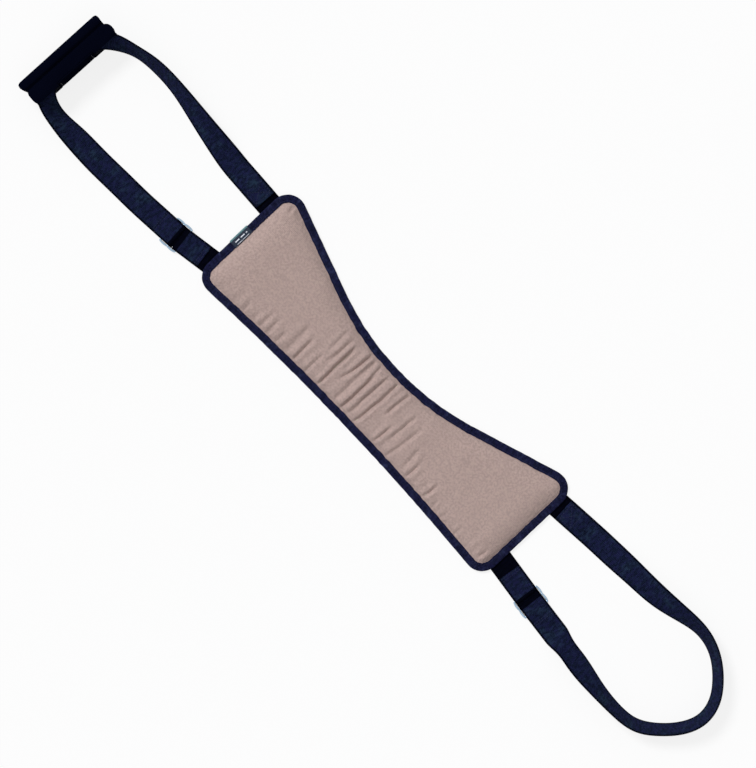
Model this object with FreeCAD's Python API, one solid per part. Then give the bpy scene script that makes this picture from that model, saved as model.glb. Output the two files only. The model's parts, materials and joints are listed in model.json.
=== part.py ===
import FreeCAD, Part
import math
import os

# Padded transfer belt: an hourglass pad with a webbing loop at each end.
# Frame: +X towards the plain loop, +Y towards the curved long edge, +Z up, floor at z = 0.
# The origin is the middle of the pad's length, on the centreline of its ends. All sizes are in mm.

# Webbing
WEB_WIDTH = 38.0
WEB_T = 1.8
LAYER_GAP = 0.05                # between sewn layers of webbing
BEND_GAP = 0.3                  # running gap at a bend that swings

# Pad
PAD_LENGTH = 610.0
WAIST_CURVED = 28.0             # from the centreline to the curved edge at the waist
WAIST_STRAIGHT = 85.0           # from the centreline to the straight edge at the waist
FLARE_RADIUS = 426.0            # waist arc of the curved edge
FLARE_ANGLE = 18.5              # slope of the curved edge beyond the arc, degrees
STRAIGHT_RADIUS = 4070.0        # slight hollow of the straight edge
CORNER_RADIUS = 28.0
FABRIC_T = 0.8
FOAM_CLEARANCE = 0.15           # between the foam's crown and the front cover
BACK_STEP_GAP = 0.2             # between the back cover and the binding's lower layer
RIM_FOAM_T = 1.2
PAD_THICKNESS = 14.0
CROWN_SHARES = ((0.0, 0.0), (0.21, 0.45), (0.58, 0.86), (1.0, 1.0))    # share of reach, share of rise
CROWN_REACH = 33.0              # from the binding to the full thickness
CORNER_SHRINK = 0.35            # how fast the corners tighten towards the crown

# Edge binding and label
BINDING_T = 0.8
BINDING_WIDTH = 12.0
LABEL_LENGTH = 32.0
LABEL_CENTRE_Y = -4.6
LABEL_T = 0.4
LABEL_GAP = 0.1
LABEL_DEPTH = 13.0

# Sewn strap ends below the pad
SEWN_LENGTH = 65.0
BOX_STITCH_LENGTH = 44.0
BOX_STITCH_WIDTH = 28.0
THREAD_WIDTH = 0.9
THREAD_DEPTH = 0.4
FIRST_ROW = 1.8                 # from the end of a layer to its first row of stitches
SECOND_ROW = 5.4
LANDING_FIRST_ROW = 1.35        # the same, from where a strap lands at a slider
LANDING_SECOND_ROW = 4.5

# Sliders
SLIDER_LENGTH = 30.0
SLIDER_WIDTH = 45.0
SLIDER_T = 2.6
BAR_WIDTH = 3.2
SLOT_SIDE_GAP = 0.4             # from the webbing's edge to the slider's side
NOTCH_DEPTH = 1.0               # between the two lobes of a side
SHOULDER_DROP = 1.6             # from a lobe's crest to the slider's corners
SLIDER_CORNER = 2.0
SLIDER_EDGE_ROUND = 0.8
SLIDER_GAP = 0.2                # above and below the bars
WRAP_SLACK = 1.0                # between a bar and the webbing bent round it
WRAP_RADIUS = 2.2
CREST_RADIUS = 7.2              # gentle bend where a strap leaves a slider or comes down to a lower layer
LAYER_RUN = 9.6                 # run in which a strap comes down onto the layer below it

# Straps
FOLD_START = 7.6                # from the bend to the folded strap end on its tab
FOLD_LAYER = 30.0               # length of the turned-under layer
FOLD_GAP = 0.3
TAB_OVERLAP = 4.0
STRAP_DROP = 14.0               # run in which a strap comes down to the floor
FLAT_RUN = 8.0
SECTIONS_PER_STATION = 2

# Grip
GRIP_LENGTH = 152.0
GRIP_DEPTH = 45.0
GRIP_HEIGHT = 42.0
GRIP_FROM_BEND = 353.0          # from the bend line to the grip's middle
GRIP_CENTRE_Y = -10.5
GRIP_TURN = -1.5                # about Z, degrees
GRIP_BACK_RADIUS = 14.0
GRIP_COVER_T = 1.0
GRIP_FOAM_T = 2.4
GRIP_LINING_T = 0.6
GRIP_LAYER_GAP = 0.1
LIP_HEIGHT = 18.0
LIP_LENGTH = 68.0
FLAP_T = 2.6
FLAP_FLOOR_GAP = 3.0
TAPE_T = 1.0                    # hook strip and loop strip
TAPE_HEIGHT = 11.0
TAPE_GAP = 0.2

# Each leg crosses the pad's end at this y and runs outwards at this angle, degrees
HINGE_OFFSET = 1.2              # bend line, from the pad's end
LEGS = {
    "grip_curved": (-1, 57.1, 2.5),
    "grip_straight": (-1, -62.5, -9.5),
    "plain_curved": (1, 62.0, 4.8),
    "plain_straight": (1, -55.9, -7.2),
}
# Slider legs: bend to pad-side bar, slider angle, strap angle, start of the fold-back, tail length
SLIDERS = {
    "grip": (48.0, -7.0, -4.5, 9.6, 52.0),
    "plain": (60.0, -6.6, -6.0, 20.0, 30.0),
}

# Loop routes beyond the flat stretches: distance from the bend line, y, tilt (degrees), lift off the floor
GRIP_ROUTE = (
    (102.6, 63.2, 18, 0.0),
    (161.0, 70.3, 44, 0.0),
    (219.4, 77.0, 60, 0.0),
    (260.8, 76.3, 65, 0.0),
    (293.8, 69.6, 69, 1.5),
    (321.8, 57.5, 59, 4.3),
    (345.3, 36.0, 54, 4.3),
    (354.2, 12.0, 54, 4.3),
    (355.6, -25.0, 54, 4.3),
    (350.7, -52.0, 53, 4.3),
    (329.8, -72.5, 48, 4.3),
    (299.8, -80.0, 42, 1.0),
    (263.8, -80.8, 22, 0.0),
    (219.4, -81.0, 8, 0.0),
    (173.8, -79.2, 4, 0.0),
)
PLAIN_ROUTE = (
    (102.6, 69.9, 5, 0.0),
    (145.8, 72.6, 20, 0.0),
    (190.2, 75.4, 30, 0.0),
    (233.8, 82.2, 49, 0.0),
    (273.8, 86.6, 65, 0.0),
    (309.8, 77.2, 73, 0.0),
    (339.8, 55.4, 75, 0.0),
    (360.8, 27.0, 76, 0.0),
    (365.8, -2.0, 75, 0.0),
    (355.8, -30.0, 72, 0.0),
    (333.8, -57.0, 70, 0.0),
    (305.8, -77.0, 66, 0.0),
    (268.8, -83.2, 62, 0.0),
    (223.8, -81.6, 50, 0.0),
    (178.8, -76.6, 36, 0.0),
    (140.8, -72.0, 20, 0.0),
)

# Heights that follow from the sizes above
PAD_BASE_Z = WEB_T
RIM_Z = PAD_BASE_Z + BINDING_T
FOAM_RIM_Z = RIM_Z + FABRIC_T
COVER_RIM_Z = FOAM_RIM_Z + RIM_FOAM_T
RIM_TOP_Z = COVER_RIM_Z + FABRIC_T
BINDING_TOP_Z = RIM_TOP_Z + BINDING_T
PAD_TOP_Z = PAD_BASE_Z + PAD_THICKNESS
HINGE_Z = WEB_T / 2
HINGE_X = PAD_LENGTH / 2 + HINGE_OFFSET
SLIDER_Z = WEB_T + SLIDER_GAP
UPPER_LAYER_Z = SLIDER_Z + SLIDER_T + SLIDER_GAP + WEB_T / 2
SECOND_LAYER_Z = 1.5 * WEB_T + LAYER_GAP
THIRD_LAYER_Z = SECOND_LAYER_Z + WEB_T + FOLD_GAP
FOLD_RADIUS = (WEB_T + FOLD_GAP) / 2
BAR_PITCH = (SLIDER_LENGTH - BAR_WIDTH) / 2
HALF_WRAP = BAR_WIDTH / 2 + WRAP_SLACK + WEB_T / 2
BAR_CREST = BAR_PITCH + BAR_WIDTH / 2 + 2 * WRAP_SLACK     # where a strap leaves the outer bar
STRAP_LANDING = BAR_CREST + LAYER_RUN                      # where it lies on the layer below
FLAP_X = GRIP_DEPTH / 2 - FLAP_T / 2
FLAP_HINGE_Z = GRIP_HEIGHT - FLAP_T / 2
TOP_FRONT_X = FLAP_X - FLAP_T / 2 - BEND_GAP
LIP_FRONT_X = FLAP_X - FLAP_T / 2 - 2 * (TAPE_T + LAYER_GAP) - TAPE_GAP

Z_AXIS = FreeCAD.Vector(0, 0, 1)


def point(x, y, z=0.0):
    return FreeCAD.Vector(x, y, z)


def line(a, b):
    return Part.LineSegment(a, b).toShape()


def arc(a, middle, b):
    return Part.Arc(a, middle, b).toShape()


def box(low, high):
    size = high - low
    return Part.makeBox(size.x, size.y, size.z, low)


# ---- pad outline -------------------------------------------------------------------------

def side_points(inset, corner):
    """Points of the right half of the outline: curved side, end and straight side."""
    slope = math.radians(FLARE_ANGLE)
    radius = FLARE_RADIUS + inset
    tangent = point(radius * math.sin(slope), WAIST_CURVED + FLARE_RADIUS - radius * math.cos(slope))
    corner_x = PAD_LENGTH / 2 - inset - corner
    run = (corner_x - corner * math.sin(slope) - tangent.x) / math.cos(slope)
    flare_end = tangent + point(math.cos(slope), math.sin(slope)) * run
    upper = flare_end + point(math.sin(slope), -math.cos(slope)) * corner
    middle = math.radians(90 + FLARE_ANGLE) / 2
    upper_middle = upper + point(math.cos(middle), math.sin(middle)) * corner
    hollow = point(0, -WAIST_STRAIGHT - STRAIGHT_RADIUS)
    reach = STRAIGHT_RADIUS + inset
    lower = point(corner_x, hollow.y + math.sqrt((reach + corner) ** 2 - corner_x ** 2))
    straight_end = hollow + (lower - hollow) * (reach / (reach + corner))
    turn = math.atan2(straight_end.y - lower.y, straight_end.x - lower.x) / 2
    lower_middle = lower + point(math.cos(turn), math.sin(turn)) * corner
    return (tangent, flare_end, upper_middle, upper + point(corner, 0),
            lower + point(corner, 0), lower_middle, straight_end)


def mirrored(p):
    return point(-p.x, p.y, p.z)


def outline(inset, z, corner=None):
    """Closed wire of the pad's outline, moved inwards by inset, at height z."""
    if corner is None:
        corner = CORNER_RADIUS - inset
    right = side_points(inset, corner)
    left = [mirrored(p) for p in right]
    edges = [
        arc(left[0], point(0, WAIST_CURVED - inset), right[0]),
        line(right[0], right[1]),
        arc(right[1], right[2], right[3]),
        line(right[3], right[4]),
        arc(right[4], right[5], right[6]),
        arc(right[6], point(0, -WAIST_STRAIGHT + inset), left[6]),
        arc(left[6], left[5], left[4]),
        line(left[4], left[3]),
        arc(left[3], left[2], left[1]),
        line(left[1], left[0]),
    ]
    wire = Part.Wire(edges)
    wire.translate(point(0, 0, z))
    return wire


def plate(inset, low_z, high_z):
    return Part.Face(outline(inset, low_z)).extrude(point(0, 0, high_z - low_z))


def crown(drop):
    """Crowned solid above the rim, with every level lowered by drop."""
    first = BINDING_WIDTH + FABRIC_T
    rise = PAD_TOP_Z - RIM_TOP_Z
    wires = []
    for reach_share, rise_share in CROWN_SHARES:
        inset = first + reach_share * CROWN_REACH
        corner = CORNER_RADIUS - inset * CORNER_SHRINK
        wires.append(outline(inset, RIM_TOP_Z + rise_share * rise - drop, corner))
    return Part.makeLoft(wires, True, True)


# ---- pad ---------------------------------------------------------------------------------

def front_cover():
    rim = plate(BINDING_T, COVER_RIM_Z, RIM_TOP_Z)
    return rim.fuse(crown(0.0)).cut(crown(FABRIC_T))


def foam_core():
    rim = plate(BINDING_T, FOAM_RIM_Z, COVER_RIM_Z)
    base = plate(BINDING_WIDTH + 2 * FABRIC_T, PAD_BASE_Z + FABRIC_T, COVER_RIM_Z)
    return rim.fuse([base, crown(FABRIC_T + FOAM_CLEARANCE)]).removeSplitter()


def back_cover():
    """Flat panel that steps up over the binding's lower layer at the rim."""
    panel = plate(BINDING_WIDTH + BACK_STEP_GAP, PAD_BASE_Z, FOAM_RIM_Z)
    rim = plate(BINDING_T, RIM_Z, FOAM_RIM_Z)
    hollow_inset = BINDING_WIDTH + BACK_STEP_GAP + FABRIC_T
    hollow = plate(hollow_inset, PAD_BASE_Z + FABRIC_T, FOAM_RIM_Z)
    return panel.fuse(rim).cut(hollow).removeSplitter()


def edge_binding():
    """Tape folded round the pad's edge, open towards the middle."""
    block = plate(0.0, PAD_BASE_Z, BINDING_TOP_Z)
    rim = plate(BINDING_T, RIM_Z, RIM_TOP_Z)
    middle = plate(BINDING_WIDTH, PAD_BASE_Z, BINDING_TOP_Z)
    return block.cut(rim).cut(middle)


def woven_label():
    """Small tape folded over the binding at the grip end."""
    inner_x = -PAD_LENGTH / 2 - LABEL_GAP
    outer_x = inner_x - LABEL_T
    low_z = PAD_BASE_Z - LABEL_GAP
    high_z = BINDING_TOP_Z + LABEL_GAP
    y_low = LABEL_CENTRE_Y - LABEL_LENGTH / 2
    y_high = LABEL_CENTRE_Y + LABEL_LENGTH / 2
    end_x = outer_x + LABEL_DEPTH
    outer = box(point(outer_x, y_low, low_z - LABEL_T), point(end_x, y_high, high_z + LABEL_T))
    inner = box(point(inner_x, y_low, low_z), point(end_x, y_high, high_z))
    return outer.cut(inner)


# ---- legs --------------------------------------------------------------------------------

def leg_placement(end, x, y, angle):
    """Frame of a leg: local +X runs outwards, and a positive angle leans towards +Y."""
    heading = angle if end > 0 else 180 - angle
    return FreeCAD.Placement(point(x, y), FreeCAD.Rotation(Z_AXIS, heading))


def leg_frame(name):
    end, y, angle = LEGS[name]
    return leg_placement(end, end * HINGE_X, y, angle)


def placed(shape, placement):
    """Copy of a shape made in a local frame, moved to where that frame is."""
    copy = shape.copy()
    copy.Placement = placement.multiply(shape.Placement)
    return copy


def unit(a, b):
    return (b - a).normalize()


def offset_points(points, distance):
    """Moves an open line of points in the XZ plane sideways, with mitred corners."""
    moved = []
    for i, p in enumerate(points):
        before = unit(points[max(i - 1, 0)], points[max(i, 1)])
        after = unit(points[min(i, len(points) - 2)], points[min(i + 1, len(points) - 1)])
        n1 = point(-before.z, 0, before.x)
        n2 = point(-after.z, 0, after.x)
        moved.append(p + (n1 + n2) * (distance / (1 + n1.dot(n2))))
    return moved


def rounded_edges(points, radii):
    """Edges along a line of points, with each inner corner rounded to its radius."""
    edges = []
    start = points[0]
    for i in range(1, len(points) - 1):
        corner = points[i]
        before = unit(corner, points[i - 1])
        after = unit(corner, points[i + 1])
        half = before.getAngle(after) / 2
        reach = radii[i] / math.tan(half)
        a = corner + before * reach
        b = corner + after * reach
        bisector = (before + after).normalize()
        middle = corner + bisector * (radii[i] / math.sin(half) - radii[i])
        if start.distanceToPoint(a) > 1e-6:
            edges.append(line(start, a))
        edges.append(arc(a, middle, b))
        start = b
    edges.append(line(start, points[-1]))
    return edges


def strip_face(route, thickness):
    """Face of a strip that follows (x, z, radius) points at its mid thickness."""
    points = [point(x, 0, z) for x, z, _ in route]
    sides = []
    for sign in (1, -1):
        radii = [0.0] * len(route)
        for i in range(1, len(route) - 1):
            before = unit(points[i - 1], points[i])
            after = unit(points[i], points[i + 1])
            left_turn = before.x * after.z - before.z * after.x > 0
            towards = -1 if left_turn else 1
            radii[i] = route[i][2] + towards * sign * thickness / 2
        sides.append((offset_points(points, sign * thickness / 2), radii))
    left, left_radii = sides[0]
    right, right_radii = sides[1]
    right = right[::-1]
    edges = rounded_edges(left, left_radii) + [line(left[-1], right[0])]
    edges += rounded_edges(right, right_radii[::-1]) + [line(right[-1], left[0])]
    return Part.Face(Part.Wire(edges))


def strip(route, width=WEB_WIDTH, thickness=WEB_T):
    """Webbing solid along local X, as wide as width across local Y."""
    solid = strip_face(route, thickness).extrude(point(0, width, 0))
    solid.translate(point(0, -width / 2, 0))
    return solid


def bend_nose(name, leg):
    """Cuts a leg's pad-side end on the bend line and rounds it about that line."""
    end, y, angle = LEGS[name]
    reach = WEB_WIDTH + SEWN_LENGTH
    near = box(point(0, -reach, -reach), point(2 * reach, reach, reach))
    near.translate(point(end * HINGE_X - (2 * reach if end > 0 else 0), y, 0))
    trimmed = leg.cut(near)
    width = WEB_WIDTH / math.cos(math.radians(angle))
    nose = Part.makeCylinder(HINGE_Z, width, point(end * HINGE_X, y - width / 2, HINGE_Z), point(0, 1, 0))
    return trimmed.fuse(nose).removeSplitter()


def thread_frame(length, width, crossed):
    """Flat stitched rectangle, with its diagonals when it is crossed, about the local origin."""
    outer = box(point(-length / 2, -width / 2, 0), point(length / 2, width / 2, THREAD_DEPTH))
    inner = box(point(-length / 2 + THREAD_WIDTH, -width / 2 + THREAD_WIDTH, 0),
                point(length / 2 - THREAD_WIDTH, width / 2 - THREAD_WIDTH, THREAD_DEPTH))
    frame = outer.cut(inner)
    if not crossed:
        return frame
    for sign in (1, -1):
        bar = box(point(-length, -THREAD_WIDTH / 2, 0), point(length, THREAD_WIDTH / 2, THREAD_DEPTH))
        bar.rotate(point(0, 0), Z_AXIS, sign * math.degrees(math.atan2(width, length)))
        frame = frame.fuse(bar.common(outer))
    return frame.removeSplitter()


def sewn_end(name):
    """Strap end below the pad, flat on the floor, with its stitching let in flush below."""
    end, y, angle = LEGS[name]
    web = strip(((-SEWN_LENGTH, WEB_T / 2, 0), (WEB_WIDTH / 2, WEB_T / 2, 0)))
    web = placed(web, leg_frame(name))
    cut_x = HINGE_X - HINGE_Z - BEND_GAP
    beyond = box(point(cut_x, y - WEB_WIDTH, 0), point(cut_x + WEB_WIDTH, y + WEB_WIDTH, WEB_T))
    if end < 0:
        beyond = beyond.mirror(point(0, 0), point(1, 0))
    web = web.cut(beyond)
    margin = (WEB_WIDTH - BOX_STITCH_WIDTH) / 2
    stitch = thread_frame(BOX_STITCH_LENGTH, BOX_STITCH_WIDTH, True)
    stitch.translate(point(-SEWN_LENGTH + margin + BOX_STITCH_LENGTH / 2, 0, 0))
    stitch = placed(stitch, leg_frame(name))
    return web.cut(stitch), stitch


def anchor_tab(name):
    """Short webbing that carries the folded strap end of a curved-side leg."""
    length = FOLD_START + FOLD_LAYER + TAB_OVERLAP
    web = strip(((-WEB_WIDTH / 2, WEB_T / 2, 0), (length, WEB_T / 2, 0)))
    return bend_nose(name, placed(web, leg_frame(name)))


def anchor_loop(name, loop):
    """Webbing bent round the slider's pad-side bar and sewn back on itself."""
    bar_at, _, _, fold_back, _ = SLIDERS[loop]
    crest = bar_at - 2 * WRAP_SLACK - BAR_WIDTH / 2
    route = (
        (-WEB_WIDTH / 2, WEB_T / 2, 0),
        (bar_at + HALF_WRAP, WEB_T / 2, WRAP_RADIUS),
        (bar_at + HALF_WRAP, UPPER_LAYER_Z, WRAP_RADIUS),
        (crest, UPPER_LAYER_Z, CREST_RADIUS),
        (crest - LAYER_RUN, SECOND_LAYER_Z, CREST_RADIUS),
        (fold_back, SECOND_LAYER_Z, 0),
    )
    return bend_nose(name, placed(strip(route), leg_frame(name)))


def slider_frames(name, loop):
    """Places of the slider's middle and of the strap's wrap round its centre bar."""
    end, _, leg_angle = LEGS[name]
    bar_at, slider_angle, strap_angle, _, _ = SLIDERS[loop]
    bar = leg_frame(name).multVec(point(bar_at, 0))
    slider = leg_placement(end, bar.x, bar.y, slider_angle)
    centre = slider.multVec(point(BAR_PITCH, 0))
    return (leg_placement(end, centre.x, centre.y, slider_angle),
            leg_placement(end, centre.x, centre.y, strap_angle))


def slider(name, loop):
    """Three-bar slider with two rounded lobes at each side."""
    half_length = SLIDER_LENGTH / 2
    side = SLIDER_WIDTH / 2
    notch = side - NOTCH_DEPTH
    shoulder = side - SHOULDER_DROP
    edges = []
    for turn in (1, -1):
        corner, dip, far = point(half_length, shoulder), point(0, notch), point(-half_length, shoulder)
        crest, far_crest = point(half_length / 2, side), point(-half_length / 2, side)
        corner, crest, dip, far_crest, far = (p * turn for p in (corner, crest, dip, far_crest, far))
        edges += [arc(corner, crest, dip), arc(dip, far_crest, far), line(far, point(far.x, -far.y))]
    body = Part.Face(Part.Wire(edges)).extrude(point(0, 0, SLIDER_T))
    upright = [e for e in body.Edges if e.BoundBox.ZLength > 0.9 * SLIDER_T]
    body = body.makeFillet(SLIDER_CORNER, upright)
    slot_y = WEB_WIDTH / 2 + SLOT_SIDE_GAP
    for low in (BAR_WIDTH / 2, BAR_WIDTH / 2 - BAR_PITCH):
        slot = box(point(low, -slot_y, 0), point(low + BAR_PITCH - BAR_WIDTH, slot_y, SLIDER_T))
        body = body.cut(slot)
    flat = [e for e in body.Edges if e.BoundBox.ZLength < 0.01]
    body = body.makeFillet(SLIDER_EDGE_ROUND, flat)
    body.translate(point(0, 0, SLIDER_Z))
    slider_place, _ = slider_frames(name, loop)
    return placed(body, slider_place)


# ---- loops -------------------------------------------------------------------------------

def section(centre, heading, tilt, lift, outward):
    """Rectangular wire across a tilted strap whose inner edge is its lowest."""
    across = point(-heading.y, heading.x) * outward
    lean = math.radians(tilt)
    width = across * math.cos(lean) + Z_AXIS * math.sin(lean)
    normal = across * -math.sin(lean) + Z_AXIS * math.cos(lean)
    height = lift + WEB_WIDTH / 2 * math.sin(lean) + WEB_T / 2 * math.cos(lean)
    middle = point(centre.x, centre.y, height)
    corners = [
        middle - width * (WEB_WIDTH / 2) - normal * (WEB_T / 2),
        middle + width * (WEB_WIDTH / 2) - normal * (WEB_T / 2),
        middle + width * (WEB_WIDTH / 2) + normal * (WEB_T / 2),
        middle - width * (WEB_WIDTH / 2) + normal * (WEB_T / 2),
    ]
    return Part.makePolygon(corners + corners[:1])


def tilted_run(first, last, route, outward):
    """Strap along a smooth route between two flat ends; first and last are leg frames."""
    end = math.copysign(1, first.Base.x)
    stations = [(end * (HINGE_X + out), y, tilt, lift) for out, y, tilt, lift in route]
    stations.insert(0, (first.Base.x, first.Base.y, 0.0, 0.0))
    stations.append((last.Base.x, last.Base.y, 0.0, 0.0))
    points = [point(x, y) for x, y, _, _ in stations]
    start = first.Rotation.multVec(point(1, 0))
    finish = last.Rotation.multVec(point(-1, 0))
    curve = Part.BSplineCurve()
    curve.interpolate(Points=points, InitialTangent=start, FinalTangent=finish)
    marks = [curve.parameter(p) for p in points]
    wires = []
    for i in range(len(stations) - 1):
        for step in range(SECTIONS_PER_STATION):
            share = step / SECTIONS_PER_STATION
            at = marks[i] + (marks[i + 1] - marks[i]) * share
            heading = curve.tangent(at)[0] if wires else start
            tilt = stations[i][2] * (1 - share) + stations[i + 1][2] * share
            lift = stations[i][3] * (1 - share) + stations[i + 1][3] * share
            wires.append(section(curve.value(at), heading, tilt, lift, outward))
    wires.append(section(points[-1], finish, 0.0, 0.0, outward))
    return Part.makeLoft(wires, True, True)


def folded_end(name):
    """Strap end turned under on its tab, and the frame where the tilted run takes over."""
    under_end = FOLD_START + WEB_T / 2 + FOLD_LAYER
    fold_x = FOLD_START + WEB_T / 2
    drop_start = under_end + TAB_OVERLAP
    drop_end = drop_start + STRAP_DROP
    route = (
        (under_end, SECOND_LAYER_Z, 0),
        (fold_x, SECOND_LAYER_Z, FOLD_RADIUS),
        (fold_x, THIRD_LAYER_Z, FOLD_RADIUS),
        (drop_start, THIRD_LAYER_Z, CREST_RADIUS),
        (drop_end, WEB_T / 2, CREST_RADIUS),
        (drop_end + FLAT_RUN, WEB_T / 2, 0),
    )
    frame = leg_frame(name)
    join = frame.multiply(FreeCAD.Placement(point(drop_end + FLAT_RUN, 0), FreeCAD.Rotation()))
    return placed(strip(route), frame), join


def slider_end(name, loop, tail_on_top):
    """Strap bent round the centre bar with its tail over or under it, and the join frame."""
    tail = SLIDERS[loop][4]
    _, frame = slider_frames(name, loop)
    wrap = [
        (-HALF_WRAP, WEB_T / 2, WRAP_RADIUS),
        (-HALF_WRAP, UPPER_LAYER_Z, WRAP_RADIUS),
        (BAR_CREST, UPPER_LAYER_Z, CREST_RADIUS),
        (STRAP_LANDING, SECOND_LAYER_Z, CREST_RADIUS),
    ]
    if tail_on_top:
        join_x = tail + FLAT_RUN
        route = [(join_x, WEB_T / 2, 0)] + wrap + [(tail, SECOND_LAYER_Z, 0)]
    else:
        over = tail + TAB_OVERLAP
        join_x = over + STRAP_DROP + FLAT_RUN
        route = [(tail, WEB_T / 2, 0)] + wrap
        route += [(over, SECOND_LAYER_Z, CREST_RADIUS), (over + STRAP_DROP, WEB_T / 2, CREST_RADIUS)]
        route += [(join_x, WEB_T / 2, 0)]
    join = frame.multiply(FreeCAD.Placement(point(join_x, 0), FreeCAD.Rotation()))
    return placed(strip(route), frame), join


def loop_webbing(loop, route, outward, tail_on_top):
    curved, straight = loop + "_curved", loop + "_straight"
    fold, fold_join = folded_end(curved)
    wrap, wrap_join = slider_end(straight, loop, tail_on_top)
    run = tilted_run(fold_join, wrap_join, route, outward)
    return run.fuse([fold, wrap]).removeSplitter()


def thread_line(x, z, frame):
    """One row of stitches across the webbing, on top of it."""
    half = WEB_WIDTH / 2 - (WEB_WIDTH - BOX_STITCH_WIDTH) / 4
    row = box(point(x, -half, z), point(x + THREAD_WIDTH, half, z + THREAD_DEPTH))
    return placed(row, frame)


def loop_stitches(loop):
    """Stitched box on the folded end, and rows on the anchor loop and at the slider tail."""
    curved, straight = loop + "_curved", loop + "_straight"
    gap = LAYER_GAP
    frame = thread_frame(FOLD_LAYER - 2 * TAB_OVERLAP, BOX_STITCH_WIDTH, False)
    top = THIRD_LAYER_Z + WEB_T / 2 + gap
    frame.translate(point(FOLD_START + FOLD_LAYER / 2, 0, top))
    threads = [placed(frame, leg_frame(curved))]
    fold_back = SLIDERS[loop][3]
    second_top = SECOND_LAYER_Z + WEB_T / 2 + gap
    for x in (fold_back + FIRST_ROW, fold_back + SECOND_ROW):
        threads.append(thread_line(x, second_top, leg_frame(straight)))
    _, strap = slider_frames(straight, loop)
    for x in (STRAP_LANDING + LANDING_FIRST_ROW, STRAP_LANDING + LANDING_SECOND_ROW):
        threads.append(thread_line(x, second_top, strap))
    return Part.makeCompound(threads)


# ---- grip --------------------------------------------------------------------------------

def grip_frame():
    middle = point(-HINGE_X - GRIP_FROM_BEND, GRIP_CENTRE_Y)
    return FreeCAD.Placement(middle, FreeCAD.Rotation(Z_AXIS, GRIP_TURN))


def grip_bar(low, high, length):
    """Block from (x, z) low to (x, z) high, centred along the grip."""
    return box(point(low[0], -length / 2, low[1]), point(high[0], length / 2, high[1]))


def grip_layer(depth, thickness):
    """One layer of the channel: a top leaf, a round back, a bottom leaf and the closing lip."""
    skin = depth + thickness / 2
    low_front = LIP_FRONT_X - depth
    route = (
        (TOP_FRONT_X, GRIP_HEIGHT - skin, 0),
        (-GRIP_DEPTH / 2 + skin, GRIP_HEIGHT - skin, GRIP_BACK_RADIUS - skin),
        (-GRIP_DEPTH / 2 + skin, skin, GRIP_BACK_RADIUS - skin),
        (low_front, skin, 0),
    )
    channel = strip(route, GRIP_LENGTH, thickness)
    lip = grip_bar((low_front - thickness, depth), (low_front, LIP_HEIGHT), LIP_LENGTH)
    return placed(channel.fuse(lip).removeSplitter(), grip_frame())


def grip_cover():
    return grip_layer(0.0, GRIP_COVER_T)


def grip_foam():
    return grip_layer(GRIP_COVER_T + GRIP_LAYER_GAP, GRIP_FOAM_T - 2 * GRIP_LAYER_GAP)


def grip_lining():
    return grip_layer(GRIP_COVER_T + GRIP_FOAM_T, GRIP_LINING_T)


def closing_strip(front_x):
    """Hook or loop strip, with its front face at front_x."""
    top = LIP_HEIGHT - TAPE_T
    low = (front_x - TAPE_T, top - TAPE_HEIGHT)
    return placed(grip_bar(low, (front_x, top), LIP_LENGTH - 2 * TAPE_T), grip_frame())


def grip_flap():
    front_x = FLAP_X + FLAP_T / 2
    leaf = grip_bar((FLAP_X - FLAP_T / 2, FLAP_FLOOR_GAP), (front_x, FLAP_HINGE_Z), LIP_LENGTH)
    nose_start = point(FLAP_X, -LIP_LENGTH / 2, FLAP_HINGE_Z)
    nose = Part.makeCylinder(FLAP_T / 2, LIP_LENGTH, nose_start, point(0, 1, 0))
    return placed(leaf.fuse(nose).removeSplitter(), grip_frame())


# ---- all nodes ---------------------------------------------------------------------------

def build_nodes():
    nodes = {
        "front_cover": front_cover(),
        "foam_core": foam_core(),
        "back_cover": back_cover(),
        "edge_binding": edge_binding(),
        "woven_label": woven_label(),
    }
    box_stitches = []
    for name in LEGS:
        web, stitch = sewn_end(name)
        nodes["sewn_end_" + name] = web
        box_stitches.append(stitch)
    nodes["box_stitches"] = Part.makeCompound(box_stitches)
    loops = (
        ("grip", GRIP_ROUTE, -1, True),
        ("plain", PLAIN_ROUTE, 1, False),
    )
    for loop, route, outward, tail_on_top in loops:
        nodes[loop + "_anchor_tab"] = anchor_tab(loop + "_curved")
        nodes[loop + "_anchor_loop"] = anchor_loop(loop + "_straight", loop)
        nodes[loop + "_slider"] = slider(loop + "_straight", loop)
        nodes[loop + "_loop_webbing"] = loop_webbing(loop, route, outward, tail_on_top)
        nodes[loop + "_loop_stitches"] = loop_stitches(loop)
    nodes["grip_cover"] = grip_cover()
    nodes["grip_foam"] = grip_foam()
    nodes["grip_lining"] = grip_lining()
    nodes["grip_loop_strip"] = closing_strip(LIP_FRONT_X + LAYER_GAP + TAPE_T)
    nodes["grip_hook_strip"] = closing_strip(FLAP_X - FLAP_T / 2 - LAYER_GAP)
    nodes["grip_flap"] = grip_flap()
    return nodes


os.makedirs("parts", exist_ok=True)
for node, shape in build_nodes().items():
    shape.exportStep("parts/" + node + ".step")
    print(node, len(shape.Solids), round(shape.Volume, 1), shape.isValid())
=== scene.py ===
import json
import math
import random

import bmesh
import bpy
import numpy as np
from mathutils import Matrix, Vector, kdtree, noise


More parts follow.
